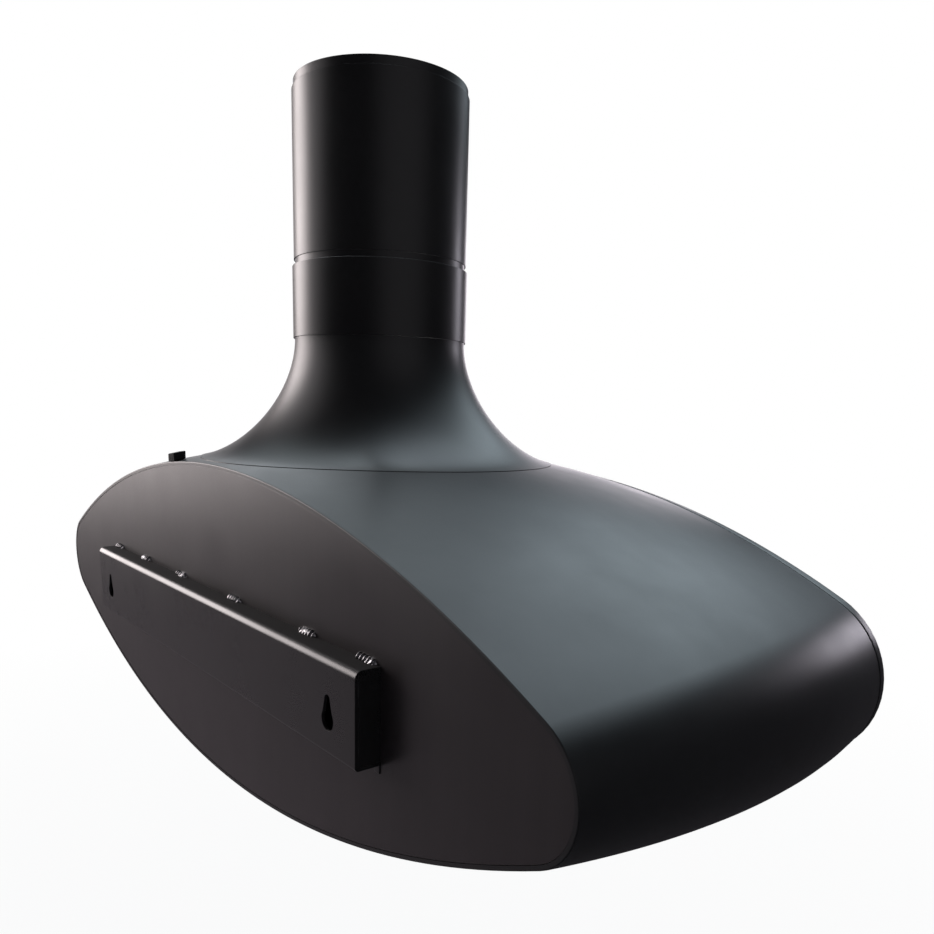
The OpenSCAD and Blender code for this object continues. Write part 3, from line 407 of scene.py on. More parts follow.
def weld_bead(bm, x, z, up, seed):
    verts = bmesh.ops.create_uvsphere(bm, u_segments=28, v_segments=64, radius=1)["verts"]
    for v in verts:
        along, across = v.co.z, Vector((v.co.x, v.co.y))
        radius = across.length
        turn = math.atan2(across.y, across.x)
        reach = abs(along) ** 3
        s = along * BEAD_L / 2
        bent = s + 1.6 * math.cos(2 * (turn - math.pi / 4)) + seed
        drop = abs(math.sin(math.pi * bent / DROP_L)) ** 0.6
        size = BEAD_R * (0.72 + 0.28 * drop) * (0.9 + 0.1 * math.sin(seed * 7 + s * 0.9))
        grow = size * min(1, math.sqrt(max(0, 1 - reach)) * 1.15)
        unit = across / radius if radius > 1e-6 else Vector((0, 0))
        v.co = Vector((x + s, PLATE_Y + unit.x * grow, z + unit.y * grow)) * MM
    near = {v for v in verts}
    for normal in ((0, -1, 0), (0, 0, -up)):
        geom = [v for v in bm.verts if v in near]
        edges = {e for v in geom for e in v.link_edges}
        faces = {f for v in geom for f in v.link_faces}
        made = bmesh.ops.bisect_plane(
            bm, geom=geom + list(edges) + list(faces), plane_co=Vector((x, PLATE_Y, z)) * MM,
            plane_no=normal, clear_outer=True, dist=1e-7,
        )
        rim = [g for g in made["geom_cut"] if isinstance(g, bmesh.types.BMEdge)]
        bmesh.ops.holes_fill(bm, edges=rim, sides=0)
        near = {v for v in near if v.is_valid} | {v for e in rim for v in e.verts}


bm = bmesh.new()
for i, share in enumerate(BEAD_SHARE):
    weld_bead(bm, share * BRACKET_L / 2, BRACKET_UP, 1, i * 1.7)
    weld_bead(bm, share * LOW_SHARE * BRACKET_L / 2, -BRACKET_DOWN, -1, i * 2.3 + 1)
beads = settle(to_object("weld_bead_row", bm, 50), "weld_beads")
print("weld beads:", len(beads.data.polygons), "faces")

# %% [markdown]
# The front trim is a folded ring: a spigot that pushes into the shell, a rounded outer edge
# and a flat face with the slots of the air slide. It is a loft through the front sections, like
# the shell, so that the two follow one outline; the slots are plain holes and are cut out.

# %% Front trim
FRONT_Y, TRIM_T, TRIM_EDGE, LAP_IN, TUCK, RIM, PROUD = -665, 6, 9, 50, 5.7, 4, 3.8
spigot_y, spigot_t = shell_front + 12, (SHELL_L - 12) / DEPTH
trim_rings = [
    lens_ring(shell_t, TUCK, shell_front),
    lens_ring(shell_t, 0.6, shell_front - 0.3),
    lens_ring(shell_t, 0, shell_front - 0.9),
    lens_ring(shell_t, -0.3, shell_front - 2.5),
]
for i in range(9):
    a = math.pi / 2 * i / 8
    inset, back = TRIM_EDGE * (1 - math.cos(a)), TRIM_EDGE * (1 - math.sin(a))
    trim_rings.append(lens_ring(1, inset - PROUD, FRONT_Y + back))
trim_rings += [
    lens_ring(1, LAP_IN - 0.6, FRONT_Y),
    lens_ring(1, LAP_IN, FRONT_Y + 0.6),
    lens_ring(1, LAP_IN, FRONT_Y + TRIM_T),
    lens_ring(1, TRIM_EDGE + RIM, FRONT_Y + TRIM_T),
    lens_ring(spigot_t, TUCK + RIM, spigot_y),
    lens_ring(spigot_t, TUCK, spigot_y),
]
trim = loft("front_trim_ring", trim_rings)
SLIDE_Z, SLOT_PITCH, SLOT_UP, THROUGH = -242, 36, 4, (FRONT_Y - 1, FRONT_Y + 7)
air_slots, knob_slot = [(i * SLOT_PITCH, 9) for i in (-3, -2, -1, 1, 2, 3)], (9, 13)
slot_low, slot_high = SLIDE_Z - SLOT_UP, SLIDE_Z + SLOT_UP
slots = [
    box("slot", (x - half, THROUGH[0], slot_low), (x + half, THROUGH[1], slot_high))
    for x, half in air_slots + [knob_slot]
]
cut(trim, slots)
settle(trim, "front_trim")
print("trim:", len(trim.data.polygons), "faces,", len(slots), "slots")

# %% [markdown]
# The drop-front door is a shallow pressed frame with a rolled edge and a lens-shaped window.
# Its rings are insets of the trim's own outline, which keeps its margin the same all round.

# %% Door frame
MARGIN, DOOR_T, DOOR_SHEET, WINDOW, DOOR_EDGE = 42, 20, 5, 82, 5
door_back, door_front = FRONT_Y - 2, FRONT_Y - 2 - DOOR_T
door_rings = [lens_ring(1, MARGIN, door_back)]
for i in range(6):
    a = math.pi / 2 * i / 5
    inset = MARGIN + DOOR_EDGE * (1 - math.cos(a))
    door_rings.append(lens_ring(1, inset, door_front + DOOR_EDGE * (1 - math.sin(a))))
door_rings += [
    lens_ring(1, WINDOW - 0.8, door_front),
    lens_ring(1, WINDOW, door_front + 0.8),
    lens_ring(1, WINDOW, door_front + DOOR_SHEET),
    lens_ring(1, MARGIN + DOOR_SHEET, door_front + DOOR_SHEET),
    lens_ring(1, MARGIN + DOOR_SHEET, door_back),
]
door = loft("door_frame_pressing", door_rings)
LATCH_Z, LATCH_R = 137, 7
latch_place = Matrix.Translation((0, 0, LATCH_Z * MM)) @ Matrix.Rotation(math.pi / 2, 4, "X")
cut(door, [rod("bore", LATCH_R, 660, 700, latch_place, 48)])
settle(door, "door_frame")
print("door:", len(door.data.polygons), "faces")

# %% [markdown]
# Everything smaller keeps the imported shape. A copy of each node is merged, its flat faces are
# joined up again and its edges are broken by a width that suits the piece: a hair for machined
# steel, half a millimetre for folded sheet, more for castings and for pressed fire board.

# %% Dress the smaller nodes
BREAKS = {
    "wall_bracket": 0.5, "bracket_end_caps": 0.5, "rear_lug": 1.2, "damper_bush_front": 0.5,
    "damper_bush_rear": 0.4, "damper_shaft": 0.5, "damper_flap": 0.5, "flap_clamps": 0.8,
    "damper_lever": 0.8, "smoke_baffle": 1.6, "baffle_hangers": 0.5, "hanger_nuts": 0.6,
    "heat_shield": 0.5, "shield_studs": 0.4, "shield_spacers": 0.3, "shield_nuts": 0.6,
    "back_brick_left": 1.6, "back_brick_middle": 1.6, "back_brick_right": 1.6,
    "side_brick_left": 1.6, "side_brick_right": 1.6, "hearth_plate": 0.4, "hearth_rails": 0.5,
    "floor_brick_left": 1.6, "floor_brick_right": 1.6, "floor_brick_rear": 1.6,
    "floor_brick_front": 1.6, "grate": 1.4, "ash_pan": 0.4, "log_guard": 0.5,
    "inner_frame": 0.5, "door_seal": 0.4, "hinge_brackets": 0.5, "hinge_pins": 0.6,
    "air_guides": 0.3, "air_slide": 0.3, "air_knob": 0.6, "door_glass": 0.6,
    "glass_gasket": 0.3, "glass_clips": 0.4, "hinge_straps": 0.6, "latch_bush": 0.5,
    "latch_spindle": 0.4, "latch_cam": 0.5, "door_handle": 0.6,
}
for node, edge in BREAKS.items():
    dress(node, edge)
print("dressed", len(BREAKS), "nodes")

# %% [markdown]
# The knob on the damper's lever is turned wood, so it is spun from a profile as on a lathe. A
# stretched sphere would be quicker, but it has no flat foot and no waist to hold.

# %% Lever knob
LEVER_OUT, LEVER_L, KNOB_R = 146.1, 62, 11
knob_profile = [
    (0, 0), (6.5, 0), (7.5, 2), (8.5, 5), (10.6, 10), (11, 14), (10.3, 18), (7.8, 21), (4, 22),
    (0, 22),
]
knob_place = damper_place @ Matrix.Translation((-(KNOB_R - LEVER_L) * MM, 0, LEVER_OUT * MM))
knob = lathe("lever_knob_turned", knob_profile, knob_place, steps=48, edge=0)
settle(knob, "lever_knob")
for extreme, end in ((min, 0), (max, 1)):
    made = [round(extreme(v.co[i] for v in knob.data.vertices), 4) for i in range(3)]

# %% [markdown]
# The screws have domed button heads with a six-sided socket. A head starts as one disc that is
# inset and lifted three times for the dome, then pushed in for the socket, so it stays one
# closed mesh. Each screw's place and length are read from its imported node.

# %% Button-head screws
HEAD_R, HEAD_T, SHANK_R, RIM_T, SOCKET_R, SOCKET_DEEP = 4.5, 2.4, 2.5, 0.9, 1.45, 1.4
DOME = (0.35, 0.7), (0.9, 0.5), (1.2, 0.3), (0.2, 0)


def loose_parts(node):
    """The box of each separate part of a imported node, in millimetres."""
    bm = bmesh.new()
    bm.from_mesh(frame["nodes"][node].data)
    bmesh.ops.remove_doubles(bm, verts=bm.verts, dist=2e-6)
    left, boxes = set(bm.verts), []
    while left:
        part, reached = [], [left.pop()]
        while reached:
            v = reached.pop()
            part.append(v.co / MM)
            near = {e.other_vert(v) for e in v.link_edges} & left
            left -= near
            reached += near
        boxes.append([[end(p[i] for p in part) for i in range(3)] for end in (min, max)])
    bm.free()
    return boxes


def screw_head(bm):
    """A domed head with a six-sided socket, standing on the origin along +Z."""
    before = set(bm.verts)
    disc = bmesh.ops.create_cone(
        bm, cap_ends=True, segments=24, radius1=HEAD_R * MM, radius2=HEAD_R * MM,
        depth=RIM_T * MM, matrix=Matrix.Translation((0, 0, RIM_T / 2 * MM)),
    )["verts"]
    face = max({f for v in disc for f in v.link_faces}, key=lambda f: f.calc_center_median().z)
    for inset, lift in DOME:
        bmesh.ops.inset_individual(bm, faces=[face], thickness=inset * MM)
        bmesh.ops.translate(bm, verts=face.verts, vec=(0, 0, lift * MM))
    for v in face.verts:
        a = math.atan2(v.co.y, v.co.x) % (math.pi / 3) - math.pi / 6
        v.co.xy = v.co.xy.normalized() * (SOCKET_R * MM / math.cos(a))
    face = bmesh.ops.extrude_discrete_faces(bm, faces=[face])["faces"][0]
    bmesh.ops.translate(bm, verts=face.verts, vec=(0, 0, -SOCKET_DEEP * MM))
    return [v for v in bm.verts if v not in before]


def screws(node, side):
    """Heads for every screw of a node; side is -1 where they point along -Y."""
    bm = bmesh.new()
    for low, high in loose_parts(node):
        tip = low[1] if side < 0 else high[1]
        seat = tip - side * HEAD_T
        x, z = (low[0] + high[0]) / 2, (low[2] + high[2]) / 2
        lay = Matrix.Rotation(-side * math.pi / 2, 4, "X")
        place = Matrix.Translation(Vector((x, seat, z)) * MM) @ lay
        bmesh.ops.transform(bm, matrix=place, verts=screw_head(bm))
        length = high[1] - low[1] - HEAD_T
        if length > 0.1:
            bmesh.ops.create_cone(
                bm, cap_ends=True, segments=24, radius1=SHANK_R * MM, radius2=SHANK_R * MM,
                depth=length * MM, matrix=place @ Matrix.Translation((0, 0, -length / 2 * MM)),
            )
    settle(to_object(node + "_turned", bm, 40), node)


screws("bracket_screws", -1)
screws("strap_screws", -1)
screws("clip_screws", 1)
print("screw heads:", HEAD_R * 2, "mm across")

# %% [markdown]
# Materials. The steel wears a satin black heat-resistant coat that is sprayed and baked: close
# up it has a fine grain, a few centimetres across it drifts in tone and gloss, and it is never
# one flat colour. The helpers below add a node, join two sockets and name what the maths does,
# which keeps the materials short enough to read.

# %% Node helpers
def add(tree, kind, **settings):
    node = tree.nodes.new(kind)
    for key, value in settings.items():
        if key in node.inputs:
            node.inputs[key].default_value = value
        else:
            setattr(node, key, value)
    return node


def join(tree, start, end):
    tree.links.new(start, end)


def new_group(name, inputs, outputs):
    tree = bpy.data.node_groups.new(name, "ShaderNodeTree")
    for label, value in inputs.items():
        socket = tree.interface.new_socket(label, in_out="INPUT", socket_type="NodeSocketFloat")
        socket.default_value = value
    for label in outputs:
        tree.interface.new_socket(label, in_out="OUTPUT", socket_type="NodeSocketFloat")
    return tree, tree.nodes.new("NodeGroupInput"), tree.nodes.new("NodeGroupOutput")


def noise(tree, where, scale, detail=3, rough=0.5):
    node = add(tree, "ShaderNodeTexNoise", Detail=detail, Roughness=rough)
    join(tree, where, node.inputs["Vector"])
    if isinstance(scale, (int, float)):
        node.inputs["Scale"].default_value = scale
    else:
        join(tree, scale, node.inputs["Scale"])
    return node.outputs["Fac"]


def spread(tree, value, low, high, to_low=0, to_high=1):
    """Stretches a value from one range to another and clamps it."""
    node = add(tree, "ShaderNodeMapRange", clamp=True)
    join(tree, value, node.inputs["Value"])
    ends = "From Min", "From Max", "To Min", "To Max"
    for key, amount in zip(ends, (low, high, to_low, to_high)):
        node.inputs[key].default_value = amount
    return node.outputs["Result"]


def maths(tree, operation, a, b=None, clamp=False):
    node = add(tree, "ShaderNodeMath", operation=operation, use_clamp=clamp)
    for socket, value in zip(node.inputs, (a, b)):
        if isinstance(value, (int, float)):
            socket.default_value = value
        elif value is not None:
            join(tree, value, socket)
    return node.outputs[0]


def weighted(tree, a, share_a, b, share_b):
    parts = maths(tree, "MULTIPLY", a, share_a), maths(tree, "MULTIPLY", b, share_b)
    return maths(tree, "ADD", *parts)


def blend_colour(tree, mask, dark, light):
    node = add(tree, "ShaderNodeMix", data_type="RGBA")
    join(tree, mask, node.inputs[0])
    for socket, colour in ((node.inputs[6], dark), (node.inputs[7], light)):
        if isinstance(colour, tuple):
            socket.default_value = (*colour, 1)
        else:
            join(tree, colour, socket)
    return node.outputs[2]


# %% [markdown]
# Effects that several finishes share are node groups: the sprayed grain, the streaks of drawn
# or brushed steel, the rubbed edges and the settled dust. A group gives out only heights and
# masks, and each material places it with its own values and keeps its own shader.

# %% Shared effects
coat_group, given, out = new_group(
    "sprayed_coat", {"Grain": 900, "Peel": 160, "Drift": 3.5}, ["Height", "Drift", "Gloss"]
)
where = add(coat_group, "ShaderNodeTexCoord").outputs["Object"]
grain = noise(coat_group, where, given.outputs["Grain"], 2)
peel = noise(coat_group, where, given.outputs["Peel"], 1)
join(coat_group, weighted(coat_group, grain, 0.55, peel, 0.45), out.inputs["Height"])
drift = noise(coat_group, where, given.outputs["Drift"], 4, 0.55)
join(coat_group, spread(coat_group, drift, 0.3, 0.7), out.inputs["Drift"])
gloss = noise(coat_group, where, 11, 3)
join(coat_group, weighted(coat_group, gloss, 0.6, grain, 0.4), out.inputs["Gloss"])

streak_group, given, out = new_group("drawn_streaks", {"Across": 220, "Along": 4}, ["Streak"])
where = add(streak_group, "ShaderNodeTexCoord").outputs["Object"]
split = add(streak_group, "ShaderNodeSeparateXYZ")
join(streak_group, where, split.inputs[0])
stretched = add(streak_group, "ShaderNodeCombineXYZ")
for axis, scale in (("X", "Across"), ("Y", "Across"), ("Z", "Along")):
    drawn = maths(streak_group, "MULTIPLY", split.outputs[axis], given.outputs[scale])
    join(streak_group, drawn, stretched.inputs[axis])
join(streak_group, noise(streak_group, stretched.outputs[0], 1, 3), out.inputs["Streak"])

wear_group, given, out = new_group("rubbed_edges", {"Reach": 0.0015, "Patches": 60}, ["Mask"])
where = add(wear_group, "ShaderNodeTexCoord").outputs["Object"]
rounded = add(wear_group, "ShaderNodeBevel", samples=4)
join(wear_group, given.outputs["Reach"], rounded.inputs["Radius"])
facing = add(wear_group, "ShaderNodeNewGeometry").outputs["Normal"]
dot = add(wear_group, "ShaderNodeVectorMath", operation="DOT_PRODUCT")
join(wear_group, rounded.outputs[0], dot.inputs[0])
join(wear_group, facing, dot.inputs[1])
edge = spread(wear_group, dot.outputs["Value"], 0.99, 0.86)
patches = spread(wear_group, noise(wear_group, where, given.outputs["Patches"], 4), 0.45, 0.62)
join(wear_group, maths(wear_group, "MULTIPLY", edge, patches), out.inputs["Mask"])

dust_group, given, out = new_group("settled_dust", {"Patches": 18}, ["Mask"])
where = add(dust_group, "ShaderNodeTexCoord")
up = add(dust_group, "ShaderNodeSeparateXYZ")
join(dust_group, where.outputs["Normal"], up.inputs[0])
lying = spread(dust_group, up.outputs["Z"], 0.35, 0.95)
drifts = noise(dust_group, where.outputs["Object"], given.outputs["Patches"], 5, 0.6)
patches = spread(dust_group, drifts, 0.35, 0.75)
join(dust_group, maths(dust_group, "MULTIPLY", lying, patches), out.inputs["Mask"])
print("groups:", [g.name for g in bpy.data.node_groups])


# %% [markdown]
# Every coat is one recipe with its own tones. Dust lies on faces that look up, rubbed edges
# show a little metal, and the plate has faint streaks from its rolling. The bracket is dulled
# where it looks up, so that it doesn't mirror the window a second time.

# %% Materials: a start that all share
def new_material(name, **fixed):
    material = bpy.data.materials.new(name)
    material.use_nodes = True
    tree = material.node_tree
    shader = tree.nodes["Principled BSDF"]
    for key, value in fixed.items():
        shader.inputs[key.replace("_", " ")].default_value = value
    return material, tree, shader


def use(tree, group, **values):
    node = add(tree, "ShaderNodeGroup", node_tree=group)
    for key, value in values.items():
        node.inputs[key].default_value = value
    return node


def bump(tree, shader, height, distance):
    node = add(tree, "ShaderNodeBump", Strength=1.0, Distance=distance)
    join(tree, height, node.inputs["Height"])
    join(tree, node.outputs["Normal"], shader.inputs["Normal"])


# %% Coated steel
DUST, WORN = (0.16, 0.15, 0.14), (0.2, 0.2, 0.2)


def coated(
    name, dark, light, rough, grain=900, height=0.00003,
    rubbed=0.0, dusty=0.0, streaks=0.0, dulled=0.0,
):
    material, tree, shader = new_material(name)
    coat = use(tree, coat_group, Grain=grain)
    colour = blend_colour(tree, coat.outputs["Drift"], dark, light)
    shine = spread(tree, coat.outputs["Gloss"], 0.3, 0.7, rough - 0.05, rough + 0.05)
    if streaks:
        lines = use(tree, streak_group, Across=60, Along=1.2)
        mask = spread(tree, lines.outputs["Streak"], 0.35, 0.65, 0, streaks)
        colour = blend_colour(tree, mask, colour, tuple(c * 1.7 for c in light))
    if dusty:
        settled = use(tree, dust_group)
        mask = maths(tree, "MULTIPLY", settled.outputs["Mask"], dusty)
        colour = blend_colour(tree, mask, colour, DUST)
    if rubbed:
        worn = use(tree, wear_group)
        mask = maths(tree, "MULTIPLY", worn.outputs["Mask"], rubbed)
        colour = blend_colour(tree, mask, colour, WORN)
        shine = maths(tree, "SUBTRACT", shine, maths(tree, "MULTIPLY", mask, 0.12))
    if dulled:
        where = add(tree, "ShaderNodeTexCoord")
        up, place = add(tree, "ShaderNodeSeparateXYZ"), add(tree, "ShaderNodeSeparateXYZ")
        join(tree, where.outputs["Normal"], up.inputs[0])
        join(tree, where.outputs["Object"], place.inputs[0])
        heated = spread(tree, up.outputs["Z"], 0.8, 0.97, 0, dulled)
        on_roof = spread(tree, place.outputs["Z"], 0.1, 0.12, 0, dulled)
        shine = maths(tree, "ADD", shine, maths(tree, "MAXIMUM", heated, on_roof), clamp=True)
    join(tree, colour, shader.inputs["Base Color"])
    join(tree, shine, shader.inputs["Roughness"])
    bump(tree, shader, coat.outputs["Height"], height)
    return material


FINISH = {
    "body_coat": coated(
        "body_coat", (0.005, 0.0055, 0.006), (0.009, 0.0098, 0.0105), 0.36, dusty=0.05,
    ),
    "plate_coat": coated(
        "plate_coat", (0.013, 0.0105, 0.0115), (0.019, 0.0155, 0.0165), 0.34, 700, streaks=0.15,
    ),
    "bracket_coat": coated(
        "bracket_coat", (0.009, 0.0085, 0.009), (0.014, 0.0135, 0.014), 0.29, rubbed=0.25,
        dulled=0.6,
    ),
    "flue_coat": coated(
        "flue_coat", (0.004, 0.004, 0.0043), (0.008, 0.008, 0.0085), 0.32, 1200, 0.00002,
    ),
    "frame_coat": coated(
        "frame_coat", (0.008, 0.008, 0.0085), (0.014, 0.014, 0.015), 0.45, rubbed=0.3,
    ),
}
print("coats:", sorted(FINISH))


# %% [markdown]
# Bare metal mirrors its surroundings, so its look comes from its gloss. Fine streaks feed both
# the colour and the bump; stains tint it in patches, and soot darkens it and lowers the gloss.

# %% Bare metals
def metal(name, dark, light, rough, across=300, along=8, distance=0.00002, sooty=0.0, stain=None):
    material, tree, shader = new_material(name, Metallic=1.0)
    lines = use(tree, streak_group, Across=across, Along=along)
    coat = use(tree, coat_group, Grain=500, Drift=9)
    colour = blend_colour(tree, lines.outputs["Streak"], dark, light)
    if stain:
        tarnish = maths(tree, "MULTIPLY", coat.outputs["Drift"], 0.6)
        colour = blend_colour(tree, tarnish, colour, stain)
    shine = spread(tree, coat.outputs["Gloss"], 0.3, 0.7, rough - 0.08, rough + 0.08)
    if sooty:
        mask = maths(tree, "MULTIPLY", coat.outputs["Drift"], sooty)
        colour = blend_colour(tree, mask, colour, (0.02, 0.018, 0.017))
        shine = maths(tree, "ADD", shine, maths(tree, "MULTIPLY", mask, 0.35), clamp=True)
    join(tree, colour, shader.inputs["Base Color"])
    join(tree, shine, shader.inputs["Roughness"])
    bump(tree, shader, lines.outputs["Streak"], distance)
    return material


FINISH["bare_weld"] = metal(
    "bare_weld", (0.28, 0.28, 0.29), (0.62, 0.62, 0.64), 0.25, 400, 60, 0.00006,
    stain=(0.12, 0.11, 0.11),
)
FINISH["bare_steel"] = metal("bare_steel", (0.42, 0.42, 0.44), (0.58, 0.58, 0.6), 0.32)
FINISH["sooty_steel"] = metal(
    "sooty_steel", (0.1, 0.1, 0.105), (0.17, 0.165, 0.16), 0.5, sooty=0.7,
)
FINISH["bush_brass"] = metal(
    "bush_brass", (0.6, 0.44, 0.2), (0.75, 0.58, 0.3), 0.3, stain=(0.3, 0.2, 0.1),
)
FINISH["screw_black"] = metal("screw_black", (0.05, 0.05, 0.055), (0.09, 0.09, 0.095), 0.4)
print("with the bare metals:", len(FINISH), "finishes")


# %% [markdown]
# What is inside the fireplace and round its door: rough iron, pressed fire board that soot
# darkens towards the top, a woven glass-fibre rope, turned wood and ceramic glass. Each needs
# one pattern that no other piece has, so each has a recipe of its own.

# %% Castings, fire board, seal, wood and glass
def cast_iron():
    material, tree, shader = new_material("cast_grate", Metallic=0.0)
    coat = use(tree, coat_group, Grain=420, Peel=90, Drift=14)
    dust = use(tree, dust_group, Patches=45)
    colour = blend_colour(tree, coat.outputs["Drift"], (0.016, 0.016, 0.017), (0.04, 0.038, 0.036))
    ash = maths(tree, "MULTIPLY", dust.outputs["Mask"], 0.5)
    colour = blend_colour(tree, ash, colour, (0.2, 0.19, 0.18))
    join(tree, colour, shader.inputs["Base Color"])
    shine = spread(tree, coat.outputs["Gloss"], 0.3, 0.7, 0.55, 0.75)
    join(tree, shine, shader.inputs["Roughness"])
    bump(tree, shader, coat.outputs["Height"], 0.0004)
    return material


def fire_board():
    """Pressed flakes: pale gold specks in a tan ground, darkened by soot towards the top."""
    material, tree, shader = new_material("fire_board")
    where = add(tree, "ShaderNodeTexCoord").outputs["Object"]
    flakes = add(tree, "ShaderNodeTexVoronoi", Scale=210, Randomness=1.0)
    join(tree, where, flakes.inputs["Vector"])
    cell = add(tree, "ShaderNodeSeparateColor")
    join(tree, flakes.outputs["Color"], cell.inputs[0])
    pale = spread(tree, cell.outputs[0], 0.2, 0.9)
    colour = blend_colour(tree, pale, (0.36, 0.27, 0.17), (0.62, 0.5, 0.34))
    place = add(tree, "ShaderNodeSeparateXYZ")
    join(tree, where, place.inputs[0])
    smoke = noise(tree, where, 7, 5, 0.6)
    high = maths(tree, "ADD", place.outputs["Z"], maths(tree, "MULTIPLY", smoke, 0.35))
    soot = spread(tree, high, -0.02, 0.3, 0.12, 0.9)
    colour = blend_colour(tree, soot, colour, (0.035, 0.03, 0.027))
    join(tree, colour, shader.inputs["Base Color"])
    join(tree, spread(tree, cell.outputs[1], 0, 1, 0.7, 0.95), shader.inputs["Roughness"])
    bump(tree, shader, cell.outputs[2], 0.0005)
    return material


def rope_seal():
    material, tree, shader = new_material("rope_seal")
    where = add(tree, "ShaderNodeTexCoord").outputs["Object"]
    strands = [
        add(tree, "ShaderNodeTexWave", Scale=260, Distortion=1.5, Detail=1, bands_direction=d)
        for d in ("X", "Z")
    ]
    for s in strands:
        join(tree, where, s.inputs["Vector"])
    weave = maths(tree, "MULTIPLY", strands[0].outputs["Fac"], strands[1].outputs["Fac"])
    colour = blend_colour(tree, weave, (0.2, 0.19, 0.17), (0.5, 0.48, 0.43))
    join(tree, colour, shader.inputs["Base Color"])
    join(tree, spread(tree, weave, 0, 1, 0.95, 0.8), shader.inputs["Roughness"])
    bump(tree, shader, weave, 0.0006)
    return material


def knob_wood():
    material, tree, shader = new_material("knob_wood")
    where = add(tree, "ShaderNodeTexCoord").outputs["Object"]
    rings = add(tree, "ShaderNodeTexWave", Scale=70, Distortion=6, Detail=3, wave_type="RINGS")
    join(tree, where, rings.inputs["Vector"])
    colour = blend_colour(tree, rings.outputs["Fac"], (0.12, 0.055, 0.025), (0.28, 0.14, 0.065))
    join(tree, colour, shader.inputs["Base Color"])
    join(tree, spread(tree, rings.outputs["Fac"], 0, 1, 0.42, 0.32), shader.inputs["Roughness"])
    bump(tree, shader, rings.outputs["Fac"], 0.00005)
    return material


def ceramic_glass():
    """Clear glass with a faint smoky bloom in loose patches."""
    material, tree, shader = new_material(
        "ceramic_glass", Transmission_Weight=1.0, IOR=1.5, Metallic=0.0
    )
    where = add(tree, "ShaderNodeTexCoord").outputs["Object"]
    haze = spread(tree, noise(tree, where, 4, 4, 0.5), 0.3, 0.8)
    colour = blend_colour(tree, haze, (0.9, 0.89, 0.87), (0.78, 0.76, 0.72))
    join(tree, colour, shader.inputs["Base Color"])
    join(tree, spread(tree, haze, 0, 1, 0.01, 0.05), shader.inputs["Roughness"])
    return material


FINISH["cast_grate"], FINISH["fire_board"] = cast_iron(), fire_board()
FINISH["rope_seal"], FINISH["knob_wood"] = rope_seal(), knob_wood()
FINISH["ceramic_glass"] = ceramic_glass()
print("finishes:", sorted(FINISH))

# %% [markdown]
# Each piece keeps the name of its packed finish, so one loop dresses them all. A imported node
# that nothing replaces would be painted here too, and the last line lists such nodes.

# %% Give every piece its finish
for name, slot in MADE.items():
    piece = bpy.data.objects[name]
    piece.data.materials.clear()
    piece.data.materials.append(FINISH[slot])
for node, piece in frame["nodes"].items():
    if not piece.hide_render:
        piece.data.materials.clear()
        piece.data.materials.append(FINISH[SLOT_OF[node]])
print("left as packed:", [n for n, o in frame["nodes"].items() if not o.hide_render])

# %% [markdown]
# The light is a plain soft studio. A black satin coat shows mostly what it mirrors, so the
# place of each panel matters more than its strength: a tall window to the fireplace's right
# draws the long highlight down the pipe and greys the back plate, cool panels high in front lay
# their sheen over the roof, and all below the horizon stays dark, which keeps the underside
# black. The panels are soft-edged patches of the world. The eye, and what is seen through the
# glass, has plain white in their place, and the floor lets mirrored rays pass to the dark below.

# %% Soft panels
PANELS = (
    # azimuth and elevation, full within, gone beyond, strength, colour
    (20, 12, 8, 21, 6.5, (1.0, 0.91, 0.9)),
    (40, 22, 0, 36, 1.1, (1.0, 0.95, 0.97)),
    (340, 8, 4, 12, 0.8, (1.0, 0.95, 0.97)),
    (23, -31, 10, 30, 0.2, (1.0, 0.85, 0.92)),
    (284, 36, 0, 23, 1.7, (0.84, 1.0, 1.1)),
    (285, 54, 0, 38, 1.0, (0.84, 1.0, 1.1)),
    (299, 66, 0, 22, 1.3, (0.88, 1.0, 1.1)),
    (342, 47, 0, 23, 1.2, (0.88, 1.0, 1.06)),
    (338, 23, 2, 9, 1.9, (0.92, 1.0, 1.06)),
    (271, 7, 2, 8, 5.2, (1.0, 0.95, 1.06)),
    (309, 5, 2, 12, 2.9, (1.0, 0.93, 1.0)),
    (175, 17, 5, 43, 0.24, (0.98, 0.95, 1.0)),
)
SURROUND = 0.045, 0.042, 0.048
world = bpy.data.worlds.new("studio")
bpy.context.scene.world = world
world.use_nodes = True
tree = world.node_tree
towards = add(tree, "ShaderNodeTexCoord").outputs["Generated"]
path = add(tree, "ShaderNodeLightPath")
light = None
for azimuth, elevation, full, gone, strength, colour in PANELS:
    a, e = math.radians(azimuth), math.radians(elevation)
    lean = add(tree, "ShaderNodeVectorMath", operation="DOT_PRODUCT")
    join(tree, towards, lean.inputs[0])
    flat = math.cos(e)
    lean.inputs[1].default_value = (flat * math.cos(a), flat * math.sin(a), math.sin(e))
    edges = math.cos(math.radians(gone)), math.cos(math.radians(full))
    soft = add(tree, "ShaderNodeMapRange", interpolation_type="SMOOTHSTEP")
    join(tree, lean.outputs["Value"], soft.inputs["Value"])
    for key, amount in zip(("From Min", "From Max", "To Max"), (*edges, strength)):
        soft.inputs[key].default_value = amount
    panel = add(tree, "ShaderNodeVectorMath", operation="MULTIPLY_ADD")
    join(tree, soft.outputs["Result"], panel.inputs[0])
    panel.inputs[1].default_value = colour
    if light is None:
        panel.inputs[2].default_value = SURROUND
    else:
        join(tree, light, panel.inputs[2])
    light = panel.outputs[0]
eye = maths(tree, "MAXIMUM", path.outputs["Is Camera Ray"], path.outputs["Is Transmission Ray"])
join(tree, blend_colour(tree, eye, light, (1, 1, 1)), tree.nodes["Background"].inputs["Color"])
print("panels:", len(PANELS))

# %% [markdown]
# The floor is white to the eye, like the background, and it still shows the soft shadow of the
# object, because near the middle the eye sees a share of its real shading.

# %% Floor
FLOOR_Z, FLOOR_R, WHITE = -1.05, 40, (1, 1, 1, 1)


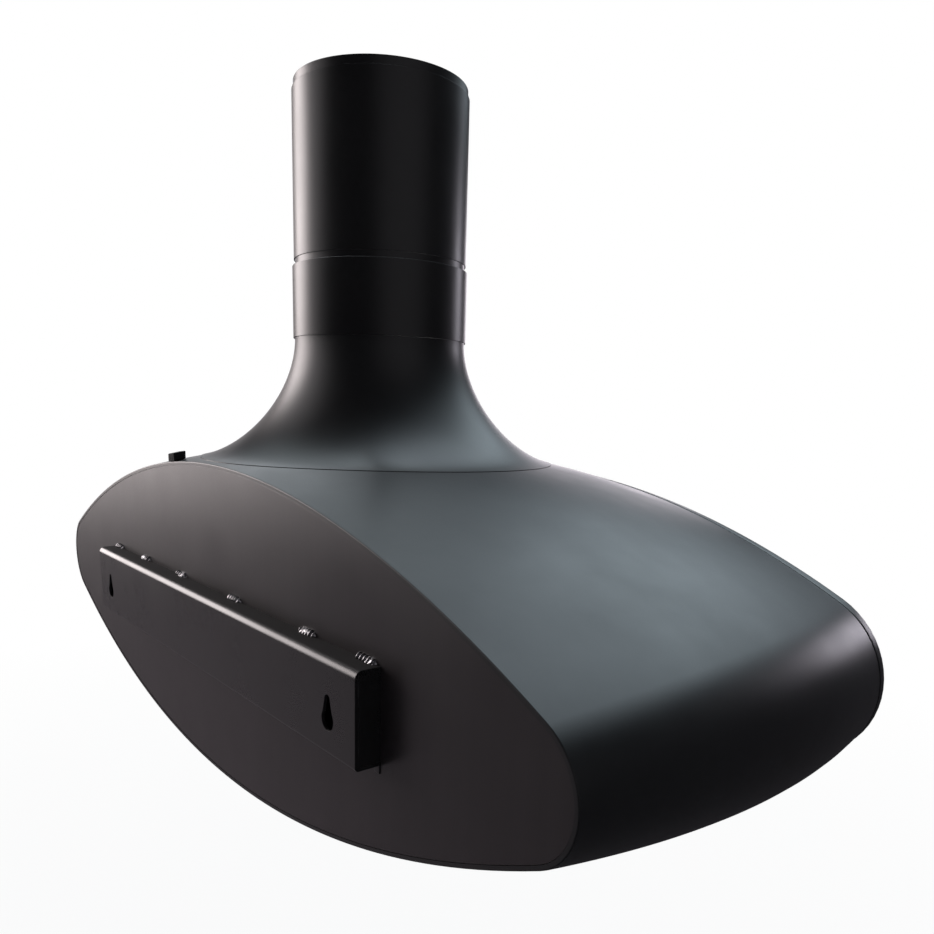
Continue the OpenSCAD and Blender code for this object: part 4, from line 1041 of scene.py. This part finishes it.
def pale_floor():
    """White to the eye, with a share of its own shading nearby, so that a shadow stays."""
    material, tree, shader = new_material("pale_floor", Roughness=0.8)
    where = add(tree, "ShaderNodeTexCoord").outputs["Object"]
    tone = blend_colour(tree, noise(tree, where, 2, 3), (0.8, 0.8, 0.8), (0.84, 0.84, 0.84))
    join(tree, tone, shader.inputs["Base Color"])
    path = add(tree, "ShaderNodeLightPath")
    glow = add(tree, "ShaderNodeEmission", Color=WHITE, Strength=1.0)
    length = add(tree, "ShaderNodeVectorMath", operation="LENGTH")
    join(tree, where, length.inputs[0])
    far = spread(tree, length.outputs["Value"], 1.2, 4.0, 0.9, 1)
    seen = maths(tree, "MULTIPLY", path.outputs["Is Camera Ray"], far)
    seen = maths(tree, "ADD", seen, path.outputs["Is Transmission Ray"], clamp=True)
    both = add(tree, "ShaderNodeMixShader")
    join(tree, seen, both.inputs[0])
    join(tree, shader.outputs[0], both.inputs[1])
    join(tree, glow.outputs[0], both.inputs[2])
    mirrored = add(tree, "ShaderNodeMixShader")
    join(tree, path.outputs["Is Glossy Ray"], mirrored.inputs[0])
    join(tree, both.outputs[0], mirrored.inputs[1])
    join(tree, add(tree, "ShaderNodeBsdfTransparent").outputs[0], mirrored.inputs[2])
    join(tree, mirrored.outputs[0], tree.nodes["Material Output"].inputs["Surface"])
    return material


bm = bmesh.new()
bmesh.ops.create_circle(bm, cap_ends=True, radius=FLOOR_R, segments=64)
bmesh.ops.translate(bm, verts=bm.verts, vec=(0, 0, FLOOR_Z))
floor = to_object("floor", bm)
floor.data.materials.append(pale_floor())
print("floor at", FLOOR_Z)

# %% [markdown]
# The camera stands behind the fireplace's left side, a little above it. Its place and lens
# come from matching the outlines of the plate, the pipe and the body; the small shift keeps
# the pipe's sides upright, as in the picture being matched.

# %% Camera
YAW, PITCH, ROLL = 0.88082, 0.20337, 0.02727
EYE, SHIFT = (-1.0983, 0.4122, 0.3066), (-0.003, 0.1189)
SENSOR, FRAME, FOCAL = 36, 934, 831.4
flat = math.cos(PITCH)
forward = Vector((math.sin(YAW) * flat, -math.cos(YAW) * flat, -math.sin(PITCH)))
right = Vector((-math.cos(YAW), -math.sin(YAW), 0))
up = right.cross(forward)
level = Matrix((right, up, -forward)).transposed()
lens = bpy.data.cameras.new("camera")
lens.sensor_width, lens.lens = SENSOR, FOCAL / FRAME * SENSOR
lens.shift_x, lens.shift_y = SHIFT
camera = bpy.data.objects.new("camera", lens)
bpy.context.scene.collection.objects.link(camera)
turned = (level @ Matrix.Rotation(ROLL, 3, "Z")).to_4x4()
camera.matrix_world = Matrix.Translation(EYE) @ turned
bpy.context.scene.camera = camera
bpy.context.scene.view_settings.view_transform = "Standard"
print("camera at", EYE, "focal length", round(lens.lens, 2), "mm")

# %% Load the json module
import json
